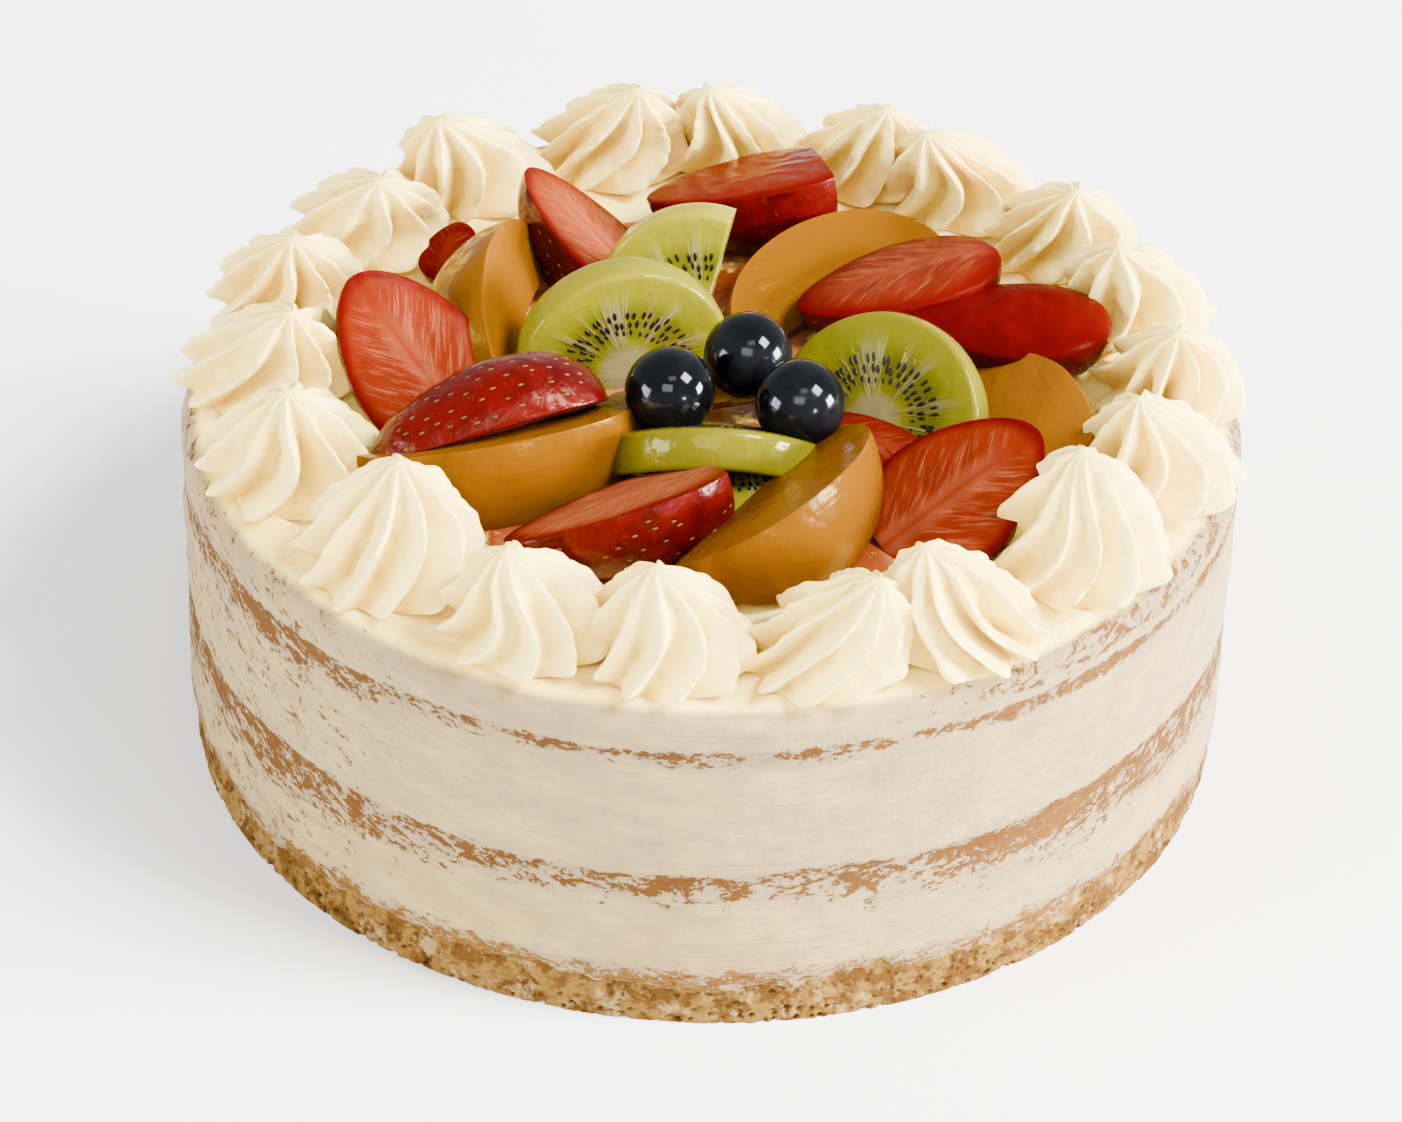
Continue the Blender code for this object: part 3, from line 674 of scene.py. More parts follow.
def crumb_finish(colours, name="open_crumb"):
    """Open sponge crumb: tan, mottled, with dark pores of painted shade."""
    finish = Finish(name)
    place = finish.place()
    pores = finish.step(finish.cells(place, 520.0), 0.42, 0.14)
    fine = finish.clouds(place, 1400.0, 3.0, 0.65)
    broad = finish.clouds(place, 210.0, 4.0, 0.65)
    # Painted shade in the pores: the dented pores and spots of the cells noise take the dark pore colour
    deep = (finish.kept("pore") * 1.1 + pores * 0.55 * finish.step(broad, 0.62, 0.42)).at_most(1.0)
    pale = tuple(times * part for times, part in zip(PALE_CRUMB, colours.crumb))
    colour = finish.blend(finish.step(broad, 0.44, 0.56), colours.crumb, pale)
    colour = finish.blend(deep, colour, colours.pore)
    smear = finish.step(finish.clouds(place, 170.0, 5.0, 0.72), 0.54, 0.64) * 0.70
    colour = finish.blend(smear * (1.0 - deep), colour, colours.coat_warm)
    finish.gloss(0.02)
    normal = finish.bump(1.0 - pores, 0.0005, 0.7)
    normal = finish.bump(fine, 0.0003, 0.8, normal)
    return finish.surface(Base_Color=colour, Roughness=0.85 - 0.1 * fine, Normal=normal)


def plain_cream_finish(colours):
    """Cream filling inside the cake."""
    finish = Finish("cream_filling")
    place = finish.place()
    cloud = finish.clouds(place, 120.0, 3.0, 0.55)
    colour = finish.blend(cloud * 0.4, colours.cream, colours.shaded_cream)
    return finish.surface(Base_Color=colour, Roughness=0.45 + 0.1 * cloud,
                          Normal=finish.bump(cloud, 0.0004, 0.4))


def glazed(finish, place, wave, distance, strength, tint, gloss, normal=None):
    """Wavy glaze over a surface, which takes up some of its colour."""
    clouds = finish.clouds(place, wave, 2.0, 0.5, 0.3)
    wavy = finish.bump(clouds, distance, strength, normal)
    finish.shader.inputs["Specular Tint"].default_value = (*tint, 1.0)
    finish.gloss(gloss)
    return wavy


def strawberry_skin_finish(colours):
    """Glazed strawberry skin."""
    finish = Finish("strawberry_skin")
    place = finish.place()
    patches = finish.clouds(place, 120.0, 3.0, 0.6)
    veins = finish.clouds(place, 480.0, 3.0, 0.65)
    dimple_shade = finish.kept("dimple")
    colour = finish.blend(finish.step(patches, 0.38, 0.66), colours.berry_red,
                          colours.berry_dark)
    colour = finish.blend(finish.step(veins, 0.58, 0.70) * 0.5, colour, colours.flesh)
    # Painted shade in the dimples round the seeds: the skin darkens where it dips
    colour = finish.blend(dimple_shade * 0.5, colour, colours.berry_dark)
    normal = finish.bump(veins, 0.0004, 0.45)
    normal = glazed(finish, place, 210.0, 0.0011, 0.30, (1.0, 0.45, 0.36), 0.20, normal)
    soft_body(finish, 0.10, (1.0, 0.15, 0.08), 0.0015)
    return finish.surface(Base_Color=colour, Roughness=0.16 + 0.20 * veins, Normal=normal)


def strawberry_flesh_finish(colours):
    """Cut face of a strawberry: red rim, pale heart and fibres that run out and to the tip."""
    finish = Finish("strawberry_flesh")
    place = finish.place()
    x, y, z = finish.parts(finish.kept("shape", "Vector"))
    pale, deep, clear = finish.parts(finish.kept("style", "Vector"))
    across = finish.maths("ABSOLUTE", x)
    shoulder = 1.0 - z * STRAWBERRY_SHOULDER
    out = finish.maths("SQRT", (across / shoulder) ** 2.0 + z * z)
    wobble = finish.clouds(place, 160.0, 3.0, 0.6) - 0.5
    rim = finish.step(out + 0.16 * wobble, 0.82, 0.98)
    lengthwise = (z - 0.9 * across + 0.10 * wobble) * 7.0
    fibres = finish.clouds(finish.vector(lengthwise, x * 1.3, y), 1.5, 2.0, 0.55)
    threads = finish.clouds(finish.vector(lengthwise * 3.0, x * 2.5, y), 1.6, 2.0, 0.55)
    fibres = finish.step(fibres * 0.6 + threads * 0.4, 0.47, 0.66)
    fibres = fibres * finish.step(out, 0.95, 0.60) * finish.step(across, 0.04, 0.20) * clear
    heart = finish.step(across + 0.25 * wobble, 0.26, 0.08) * finish.step(z, 0.75, 0.25) * clear
    line = finish.step(across, 0.055, 0.015) * finish.step(z, 0.60, 0.30) * clear
    paler = pale * (0.45 + 0.9 * (wobble + 0.5)) * finish.step(out, 0.98, 0.6)
    lightness = (fibres * 0.75 + heart * 0.40 + paler).at_most(1.0)
    ground = finish.blend(deep, colours.flesh, tuple(0.95 * part for part in colours.berry_red))
    colour = finish.blend(lightness, ground, colours.flesh_pale)
    colour = finish.blend(line * 0.6, colour, colours.flesh)
    colour = finish.blend(rim, colour, colours.berry_red)
    normal = finish.bump(fibres, 0.0003, 0.5)
    normal = glazed(finish, place, 170.0, 0.0012, 0.24, (1.0, 0.50, 0.36), 0.022, normal)
    soft_body(finish, 0.12, (1.0, 0.25, 0.12), 0.0015)
    return finish.surface(Base_Color=colour, Roughness=0.26 + 0.1 * fibres, Normal=normal)


def peach_finish(colours):
    """Glazed peach, a little deeper in its hollow."""
    finish = Finish("peach_flesh")
    place = finish.place()
    x, y, z = finish.parts(finish.kept("shape", "Vector"))
    broad = finish.clouds(place, 70.0, 3.0, 0.55)
    threads = finish.clouds(finish.vector(x * 9.0, y * 9.0, z * 1.2), 1.6, 3.0, 0.6)
    shade = (finish.step(broad, 0.35, 0.70) * 0.55 + finish.step(threads, 0.5, 0.75) * 0.35)
    pit = finish.step(y, 0.42, 0.15) * 0.2
    colour = finish.blend((shade + pit).at_most(1.0), colours.peach, colours.peach_deep)
    # Painted light and shade: each slice's flesh colour is darkened by its own kept share
    colour = finish.blend(finish.kept("light"), (0.0, 0.0, 0.0), colour)
    normal = finish.bump(threads, 0.0004, 0.30)
    normal = glazed(finish, place, 150.0, 0.0014, 0.34, (1.0, 0.66, 0.10), 0.10, normal)
    soft_body(finish, 0.20, (1.0, 0.45, 0.10), 0.0025)
    return finish.surface(Base_Color=colour, Roughness=0.14 + 0.10 * threads, Normal=normal)


def kiwi_finish(colours):
    """Kiwi flesh by the distance from the core, with pale rays."""
    finish = Finish("kiwi_flesh")
    place = finish.place()
    x, y, _ = finish.parts(finish.kept("shape", "Vector"))
    reach = finish.maths("SQRT", x * x + y * y)
    wobble = finish.clouds(place, 300.0, 3.0, 0.6) - 0.5
    rays_at = finish.vector(x / reach * 6.5, y / reach * 6.5, reach * 0.8)
    rays = finish.clouds(rays_at, 1.0, 2.0, 0.6)
    rays = finish.step(rays, 0.50, 0.66)
    soft = reach + 0.06 * wobble
    core = finish.step(soft, 0.30, 0.17)
    edge = finish.step(soft, 0.78, 0.99)
    ring = finish.step(soft, 0.24, 0.38) * finish.step(soft, 0.78, 0.55)
    deep = tuple(part * 0.52 for part in colours.kiwi)
    colour = finish.blend(ring * 0.85, colours.kiwi, deep)
    ray_mask = rays * finish.step(reach, 0.12, 0.30) * finish.step(reach, 0.90, 0.55)
    colour = finish.blend(ray_mask * 0.65, colour, colours.kiwi_core)
    colour = finish.blend(edge * 0.85, colour, colours.kiwi_edge)
    colour = finish.blend(core, colour, colours.kiwi_core)
    # Painted light and shade: each slice's flesh colour is darkened by its own kept share
    colour = finish.blend(finish.kept("light"), (0.0, 0.0, 0.0), colour)
    normal = finish.bump(ray_mask, 0.0004, 0.55)
    normal = glazed(finish, place, 230.0, 0.0011, 0.35, (0.95, 1.0, 0.35), 0.18, normal)
    soft_body(finish, 0.22, (0.8, 1.0, 0.25), 0.0022)
    return finish.surface(Base_Color=colour, Roughness=0.14 + 0.12 * rays, Normal=normal)


def berry_finish(colours):
    """Blueberry under glaze: near black, with a faint bloom."""
    finish = Finish("blueberry_skin")
    place = finish.place()
    bloom = finish.step(finish.clouds(place, 110.0, 3.0, 0.6), 0.40, 0.75)
    paler = tuple(part * 3.0 + 0.002 for part in colours.blueberry)
    colour = finish.blend(bloom * 0.7, colours.blueberry, paler)
    normal = glazed(finish, place, 120.0, 0.0006, 0.12, (0.80, 0.90, 1.0), 0.20)
    return finish.surface(Base_Color=colour, Roughness=0.07 + 0.12 * bloom, Normal=normal)


def seed_finish(name, colour):
    """Seed: one hue with small changes, and wet."""
    finish = Finish(name)
    place = finish.place()
    cloud = finish.clouds(place, 500.0, 2.0, 0.5)
    darker = tuple(part * 0.45 for part in colour)
    mixed = finish.blend(finish.step(cloud, 0.35, 0.7), colour, darker)
    finish.gloss(0.20)
    return finish.surface(Base_Color=mixed, Roughness=0.35 + 0.1 * cloud)


def glaze_finish(colours):
    """Glaze and juice that has run together over the cream between the fruit."""
    finish = Finish("run_glaze")
    place = finish.place()
    cloud = finish.clouds(place, 60.0, 3.0, 0.6)
    thin = tuple(0.6 * part for part in colours.juice)
    colour = finish.blend(finish.step(cloud, 0.42, 0.60), colours.glaze, thin)
    fine = finish.clouds(place, 160.0, 4.0, 0.65)
    colour = finish.blend(finish.step(fine, 0.56, 0.68) * 0.6, colour, colours.shaded_cream)
    normal = glazed(finish, place, 140.0, 0.0012, 0.30, (1.0, 0.55, 0.3), 0.25)
    return finish.surface(Base_Color=colour, Roughness=0.10 + 0.05 * cloud, Normal=normal)


class CAKE_OT_stage(bpy.types.Operator):
    """Pale floor, soft lights and the camera"""

    bl_idname = "cake.stage"
    bl_label = "Stage"

    def execute(self, context):
        start_shape()
        bpy.ops.mesh.primitive_plane_add(size=FLOOR_WIDTH, location=(0.0, 0.0, 0.0))
        floor = take_piece("floor")
        finish = Finish("pale_floor")
        cloud = finish.clouds(finish.place(), 3.0, 2.0, 0.5)
        colour = finish.blend(cloud, (0.97, 0.97, 0.97), (0.94, 0.94, 0.95))
        floor.data.materials.append(finish.surface(Base_Color=colour, Roughness=0.9))

        world = bpy.data.worlds.new("soft_sky")
        world.use_nodes = True
        background = world.node_tree.nodes["Background"]
        background.inputs["Color"].default_value = (*SKY_COLOUR, 1.0)
        background.inputs["Strength"].default_value = SKY_STRENGTH
        context.scene.world = world

        for light in LIGHTS:
            add_light(*light)

        camera = bpy.data.cameras.new("camera")
        camera.sensor_width = SENSOR_WIDTH
        camera.lens = LENS_LENGTH
        holder = bpy.data.objects.new("camera", camera)
        context.collection.objects.link(holder)
        turn = Matrix((CAMERA_RIGHT, CAMERA_UP, CAMERA_BACK)).transposed().to_4x4()
        holder.matrix_world = Matrix.Translation(CAMERA_PLACE) @ turn
        context.scene.camera = holder
        return {"FINISHED"}


def add_light(name, place, width, depth, power, colour):
    """Add a soft light that faces the cake."""
    lamp = bpy.data.lights.new(name, "AREA")
    lamp.shape = "RECTANGLE"
    lamp.size = width
    lamp.size_y = depth
    lamp.energy = power
    lamp.color = colour
    holder = bpy.data.objects.new(name, lamp)
    bpy.context.collection.objects.link(holder)
    aim = Vector(LIGHTS_AIM) - Vector(place)
    holder.rotation_euler = aim.to_track_quat("-Z", "Y").to_euler()
    holder.location = place


class CAKE_OT_sponge(bpy.types.Operator):
    """Lower sponge with its bare, porous foot, and the layers inside the coat"""

    bl_idname = "cake.sponge"
    bl_label = "Sponge and Filling"

    def execute(self, context):
        sizes = context.scene.cake_sizes
        colours = context.scene.cake_colours
        foot_radius = CAKE_RADIUS - FOOT_INSET
        outline = [(0.0, LAYER_LINE), (SPONGE_RADIUS, LAYER_LINE), (SPONGE_RADIUS, FOOT_TOP)]
        rows = int(FOOT_TOP / FOOT_ROW)
        outline += [(foot_radius, FOOT_TOP * (1.0 - row / rows)) for row in range(rows + 1)]
        outline += [(foot_radius * 0.97, 0.0), (0.0, 0.0)]
        piece = turn_outline("sponge_and_foot", outline, FOOT_COLUMNS)
        points = points_of(piece)
        reach = np.hypot(points[:, 0], points[:, 1])
        on_side = reach > foot_radius - 0.00005
        pore = np.zeros(len(points))
        stretch = np.array((1.0, 1.0, 1.35))
        for index in np.nonzero(on_side)[0]:
            spot = Vector(points[index] * stretch)
            big = noise.voronoi(spot / LARGE_PORE)[0][0]
            small = noise.voronoi(spot / SMALL_PORE + Vector((5.0, 1.0, 2.0)))[0][0]
            here = max(0.0, 1.0 - big / 0.34) ** 0.7
            low = max(0.0, 1.0 - points[index][2] / 0.0055)
            pore[index] = min(1.0, here * (0.45 + 0.9 * low) + 0.30 * max(0.0, 1.0 - small / 0.4))
        wave = ripple(points, 0.006, 3.0)
        inward = on_side * (sizes.pore_depth * pore - FOOT_WAVE * wave)
        scale = 1.0 - inward / np.maximum(reach, 0.001)
        points[:, :2] *= scale[:, None]
        move_points(piece, points)
        keep_pattern(piece, "pore", pore)
        piece.data.materials.append(crumb_finish(colours))
        shade_smooth(piece, 50)
        hand_over(piece, "sponge", "sponge_lower")

        hidden = crumb_finish(colours, "inner_crumb")
        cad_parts["sponge_upper"].material_slots[0].material = hidden
        filling = plain_cream_finish(colours)
        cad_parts["cream_filling"].material_slots[0].material = filling
        return {"FINISHED"}


class CAKE_OT_coat(bpy.types.Operator):
    """Cream coat with an uneven top edge and a ragged hem"""

    bl_idname = "cake.coat"
    bl_label = "Scraped Coat"

    def execute(self, context):
        sizes = context.scene.cake_sizes
        edge = COAT_EDGE_ROUND
        inner = SPONGE_RADIUS + 0.0003
        hem = COAT_HEM - 0.0008
        rings = int((CAKE_RADIUS - edge) / COAT_TOP_ROW)
        outline = [((CAKE_RADIUS - edge) * ring / rings, CAKE_HEIGHT) for ring in range(rings)]
        for step in range(9):
            turn = math.radians(90 * step / 8)
            outline.append((CAKE_RADIUS - edge + edge * math.sin(turn),
                            CAKE_HEIGHT - edge + edge * math.cos(turn)))
        fall = CAKE_HEIGHT - edge - hem
        rows = int(fall / COAT_SIDE_ROW)
        outline += [(CAKE_RADIUS, CAKE_HEIGHT - edge - fall * row / rows)
                    for row in range(1, rows + 1)]
        outline += [(inner, hem), (inner, CAKE_HEIGHT - COAT_UNDER), (0.0, CAKE_HEIGHT - COAT_UNDER)]
        piece = turn_outline("scraped_coat", outline, COAT_COLUMNS)
        points = points_of(piece)
        reach = np.hypot(points[:, 0], points[:, 1])
        around = np.arctan2(points[:, 1], points[:, 0])
        height = points[:, 2].copy()
        on_side = np.clip((reach - (CAKE_RADIUS - 0.0015)) / 0.001, 0.0, 1.0)
        on_top = (height > CAKE_HEIGHT - 0.0005) & (reach < CAKE_RADIUS - 0.5 * edge)

        stretched = points * np.array((1.0, 1.0, 3.0))
        relief = ripple(stretched, 0.020, 1.0) + 0.5 * ripple(stretched, 0.008, 2.0)
        relief += 0.35 * ripple(points * np.array((1.0, 1.0, 8.0)), 0.012, 4.0)
        step_in = np.clip((LAYER_LINE + 0.0006 - height) / 0.001, 0.0, 1.0)
        step_in *= np.clip((height - (LAYER_LINE - 0.007)) / 0.006, 0.0, 1.0)
        outward = sizes.coat_relief * relief - 0.00030 * step_in
        level = np.c_[points[:, :2], np.zeros(len(points))]
        ragged = hem + HEM_WAVE * np.sin(9 * around + 0.4) + HEM_TEAR * ripple(level, 0.006, 8.0)
        ragged += 0.0016 * ripple(level, 0.0022, 9.0)
        taper = np.clip((ragged + 0.0022 - height) / 0.0022, 0.0, 1.3)
        outward -= COAT_TAPER * taper
        scale = 1.0 + on_side * outward / np.maximum(reach, 0.001)
        points[:, :2] *= scale[:, None]

        spiral = np.sin(reach * 900.0 + 2.0 * around + 2.2 * ripple(points, 0.03, 5.0))
        lip_at = 0.5 + 0.5 * np.sin(3 * around + 1.0) * np.cos(5 * around)
        lip = np.exp(-((reach - (CAKE_RADIUS - 0.0052)) / 0.0011) ** 2) * lip_at
        rise = TOP_SWIRL * spiral + 0.0004 * ripple(points, 0.012, 6.0) + COAT_LIP * lip
        points[:, 2] += on_top * rise
        rim = np.exp(-((reach - (CAKE_RADIUS - 0.002)) / 0.002) ** 2) * (height > CAKE_HEIGHT - edge)
        points[:, 2] += rim * 0.0006 * ripple(points, 0.016, 7.0)
        move_points(piece, points)
        piece.data.materials.append(coat_finish(context.scene.cake_colours))
        shade_smooth(piece, 60)
        hand_over(piece, "coat", "cream_coat")
        return {"FINISHED"}


def pipe_rosette(name, place, sizes, chance):
    """Pipe one dollop: leaning crests and broad valleys wind up from a curled foot to its tip."""
    x, y, radius, tall, lean_x, lean_y, twist = place
    start_shape()
    bpy.ops.mesh.primitive_uv_sphere_add(segments=ROSETTE_COLUMNS, ring_count=ROSETTE_ROWS,
                                         radius=1.0)
    piece = take_piece(name)
    unit = points_of(piece)
    share = np.arccos(np.clip(unit[:, 2], -1.0, 1.0)) / math.pi
    around = np.arctan2(unit[:, 1], unit[:, 0])
    phases = [chance.uniform(0.0, 2.0 * math.pi) for _ in range(6)]
    height = np.clip(1.0 - (share / ROSETTE_FOOT_ROW) ** 0.85, 0.0, 1.0)
    warped = around + 0.075 * np.sin(around + phases[0]) + 0.06 * np.sin(2 * around + phases[1])
    warped += 0.05 * np.sin(3 * around + phases[3] + 2.5 * height)
    cycle = ROSETTE_RIDGES * warped
    cycle = cycle + 0.45 * np.sin(cycle)
    wave = 0.5 + 0.5 * np.cos(cycle)
    crest = np.maximum(wave, 0.0001) ** (0.40 + 0.58 * np.clip(height / 0.45, 0.0, 1.0))
    strength = 1.0 + 0.20 * np.sin(around + phases[2]) + 0.16 * np.sin(3 * around + phases[3])
    dome = (1.0 - height ** 2.4) ** 0.80
    flat_foot = np.clip((1.0 - share) / (1.0 - ROSETTE_FOOT_ROW), 0.0, 1.0)
    low = np.clip(1.0 - height / ROSETTE_CURL, 0.0, 1.0)
    curl = 1.0 - low ** 2 * (0.12 + 0.14 * crest)
    bulge = 1.0 + 0.07 * crest * np.exp(-((height - 0.15) / 0.11) ** 2)
    depth = sizes.ridge_depth * (0.42 + 0.62 * np.sin(math.pi * height ** 0.7))
    reach = radius * MM * dome * flat_foot * curl * bulge
    reach *= 1.0 - depth * strength * (1.0 - crest)
    torn = np.clip(np.sin(5 * around + phases[4]) - 0.35, 0.0, 1.0)
    ripples = np.sin(2.0 * math.pi * (height * tall / 2.6 + 2.0 * around))
    reach += ROSETTE_TORN * crest ** 4 * torn * ripples * (height < 0.8) * (height > 0.15)
    sign = 1.0 if twist > 0 else -1.0
    turn = around + math.atan2(y, x) + math.radians(twist) * height
    turn += sign * sizes.ridge_lean * crest + sign * ROSETTE_SWAY * np.sin(math.pi * height)
    turn += 0.09 * np.sin(5.5 * height + 2.0 * around + phases[5])
    lean = height ** 1.5
    points = np.c_[x * MM + reach * np.cos(turn) + lean_x * MM * lean,
                   y * MM + reach * np.sin(turn) + lean_y * MM * lean,
                   TOP_FLOOR + tall * MM * height]
    soft = ROSETTE_LUMPS * ripple(points, 0.0075, phases[5])
    soft = soft + ROSETTE_GRAIN * ripple(points, 0.0028, 9.0)
    away = np.c_[np.cos(turn), np.sin(turn), 0.3 * np.ones(len(turn))]
    keep = np.clip(height / 0.1, 0.0, 1.0) * np.clip((1.0 - height) / 0.05, 0.0, 1.0)
    points += away * (soft * keep)[:, None]
    move_points(piece, points)
    # Painted shade for the material, deepest in the valleys between the crests and near the curled foot
    fold = (1.0 - wave) ** 2.0 * strength * (0.75 + 0.35 * low) + 0.2 * low * (1.0 - wave)
    keep_pattern(piece, "fold", np.clip(fold, 0.0, 1.0))
    return piece


class CAKE_OT_rosettes(bpy.types.Operator):
    """Ring of piped cream rosettes"""

    bl_idname = "cake.rosettes"
    bl_label = "Rosettes"

    def execute(self, context):
        finish = cream_finish(context.scene.cake_colours)
        for index, place in enumerate(ROSETTES):
            node = "rosette_%02d" % (index + 1)
            chance = random.Random(100 + index)
            piece = pipe_rosette("piped_" + node, place, context.scene.cake_sizes, chance)
            piece.data.materials.append(finish)
            shade_smooth(piece, 80)
            hand_over(piece, "cream", node)
        return {"FINISHED"}


def strawberry_point(unit, length, width, depth, dome):
    """Place on a strawberry for points on a unit ball, in its own axes."""
    shoulder = 1.0 - STRAWBERRY_SHOULDER * unit[:, 2]
    deep = np.where(unit[:, 1] < 0.0, depth, dome) * MM
    return np.c_[unit[:, 0] * width / 2 * MM * shoulder, unit[:, 1] * deep * shoulder,
                 unit[:, 2] * length / 2 * MM]


def seed_places(length, width, depth, stem_cut, shown):
    """Spread seeds over the skin, on a winding line from tip to stem."""
    girth = math.pi * (width / 2 + depth) / 2 * MM
    count = int(2.6 * girth * length * MM / SEED_SPACING ** 2)
    order = np.arange(count) + 0.5
    high = 1.0 - 2.0 * order / count
    chance = np.random.default_rng(int(10 * length + width))
    high = np.clip(high + chance.uniform(-0.03, 0.03, count), -1.0, 1.0)
    turn = order * math.pi * (3.0 - math.sqrt(5.0)) + chance.uniform(-0.09, 0.09, count)
    out = np.sqrt(1.0 - high ** 2)
    unit = np.c_[out * np.cos(turn), out * np.sin(turn), high]
    keep = (unit[:, 1] < -0.10) & (unit[:, 2] > 0.04 - stem_cut) & (unit[:, 2] > -0.88)
    keep &= chance.uniform(0.0, 1.0, count) < shown
    return strawberry_point(unit[keep], length, width, depth, 0.0)


def seed_shape(columns, rows):
    """Drop shape of a seed one unit long, as points and faces."""
    start_shape()
    bpy.ops.mesh.primitive_uv_sphere_add(segments=columns, ring_count=rows, radius=0.5)
    piece = bpy.context.active_object
    points = points_of(piece)
    points[:, :2] *= (0.62 - 0.35 * points[:, 2:])
    faces = [tuple(face.vertices) for face in piece.data.polygons]
    bpy.data.objects.remove(piece)
    return points, faces


def strew(name, shape, matrices):
    """Join copies of a small shape, each at its own place, into one piece."""
    points, faces = shape
    all_points = []
    all_faces = []
    for number, matrix in enumerate(matrices):
        turned = np.array(matrix.to_3x3()) @ points.T
        all_points.append(turned.T + np.array(matrix.translation))
        shift = number * len(points)
        all_faces += [tuple(vert + shift for vert in face) for face in faces]
    mesh = bpy.data.meshes.new(name)
    mesh.from_pydata(np.concatenate(all_points).tolist(), [], all_faces)
    mesh.shade_smooth()
    piece = bpy.data.objects.new(name, mesh)
    bpy.context.collection.objects.link(piece)
    return piece


def seed_matrix(spot, normal, along, length, width, thick):
    """Matrix of one seed that lies on a surface."""
    normal = Vector(normal).normalized()
    along = Vector(along) - normal * Vector(along).dot(normal)
    if along.length < 0.0001:
        along = normal.orthogonal()
    along.normalize()
    across = normal.cross(along)
    turn = Matrix((across * width, normal * thick, along * length)).transposed()
    return Matrix.Translation(Vector(spot)) @ turn.to_4x4()


def carve_strawberry(place, sizes):
    """Cut one strawberry in half, dimple its skin and return the places of its seeds."""
    name, middle, tip, face, length, width, depth, stem_cut, style, dome = place
    start_shape()
    bpy.ops.mesh.primitive_uv_sphere_add(segments=160, ring_count=90, radius=1.0)
    piece = take_piece("glazed_" + name)
    if stem_cut < 1.0:
        cut_off(piece, (0.0, 0.0, -stem_cut), (0.0, 0.0, -1.0))
    unit = points_of(piece)
    points = strawberry_point(unit, length, width, depth, dome)
    on_face = unit[:, 1] > 0.0
    seeds = seed_places(length, width, depth, stem_cut, style[3])
    dimple = np.zeros(len(points))
    for seed in seeds:
        gap = np.linalg.norm(points - seed, axis=1)
        dimple = np.maximum(dimple, np.exp(-(gap / SEED_DIMPLE_REACH) ** 2))
    dimple *= unit[:, 1] < -0.02
    inward = points.copy()
    inward[:, 2] *= 0.4
    inward /= np.maximum(np.linalg.norm(inward, axis=1), 0.0001)[:, None]
    points -= inward * (sizes.seed_dimple * dimple)[:, None]
    skin_wave = STRAWBERRY_SKIN_WAVE * ripple(points, 0.006, length)
    points += inward * (skin_wave * (unit[:, 1] < -0.02))[:, None]
    uneven = 0.0005 * ripple(points, 0.007, width) + 0.0002 * ripple(points, 0.0025, depth)
    points[:, 1] += on_face * unit[:, 1] * uneven
    move_points(piece, points)
    keep_pattern(piece, "dimple", dimple)
    keep_pattern(piece, "shape", np.c_[points[:, 0] / (width / 2 * MM), points[:, 1] / (depth * MM),
                                       points[:, 2] / (length / 2 * MM)])
    keep_pattern(piece, "style", np.tile(style[:3], (len(points), 1)))
    face_outwards(piece)
    if stem_cut < 1.0:
        round_edges(piece, STRAWBERRY_EDGE_ROUND, 3, 60)
    for polygon in piece.data.polygons:
        if polygon.center.y > 0.0 or polygon.normal.z < -0.95 and stem_cut < 1.0:
            polygon.material_index = 1
    matrix = pose_matrix(middle, tip, face)
    tree = BVHTree.FromPolygons([vert.co for vert in piece.data.vertices],
                                [tuple(poly.vertices) for poly in piece.data.polygons])
    places = []
    for seed in seeds:
        spot, normal, _, _ = tree.find_nearest(Vector(seed))
        spot = matrix @ (spot + normal * 0.00005)
        normal = matrix.to_3x3() @ normal
        along = matrix.to_3x3() @ Vector((0.0, 0.0, -1.0))
        places.append(seed_matrix(spot - normal * 0.0001, normal, along, *STRAWBERRY_SEED))
    piece.data.transform(matrix)
    shade_smooth(piece, 70)
    return piece, places


class CAKE_OT_strawberries(bpy.types.Operator):
    """Halved strawberries with their seeds"""

    bl_idname = "cake.strawberries"
    bl_label = "Strawberries"

    def execute(self, context):
        colours = context.scene.cake_colours
        skin = strawberry_skin_finish(colours)
        flesh = strawberry_flesh_finish(colours)
        places = []
        for place in STRAWBERRIES:
            piece, seeds = carve_strawberry(place, context.scene.cake_sizes)
            piece.data.materials.append(skin)
            piece.data.materials.append(flesh)
            hand_over(piece, "strawberry", place[0])
            places += seeds
        seeds = strew("strawberry_seeds", seed_shape(8, 5), places)
        seeds.data.materials.append(seed_finish("strawberry_seed", colours.seed))
        hand_over(seeds, "strawberry")
        return {"FINISHED"}


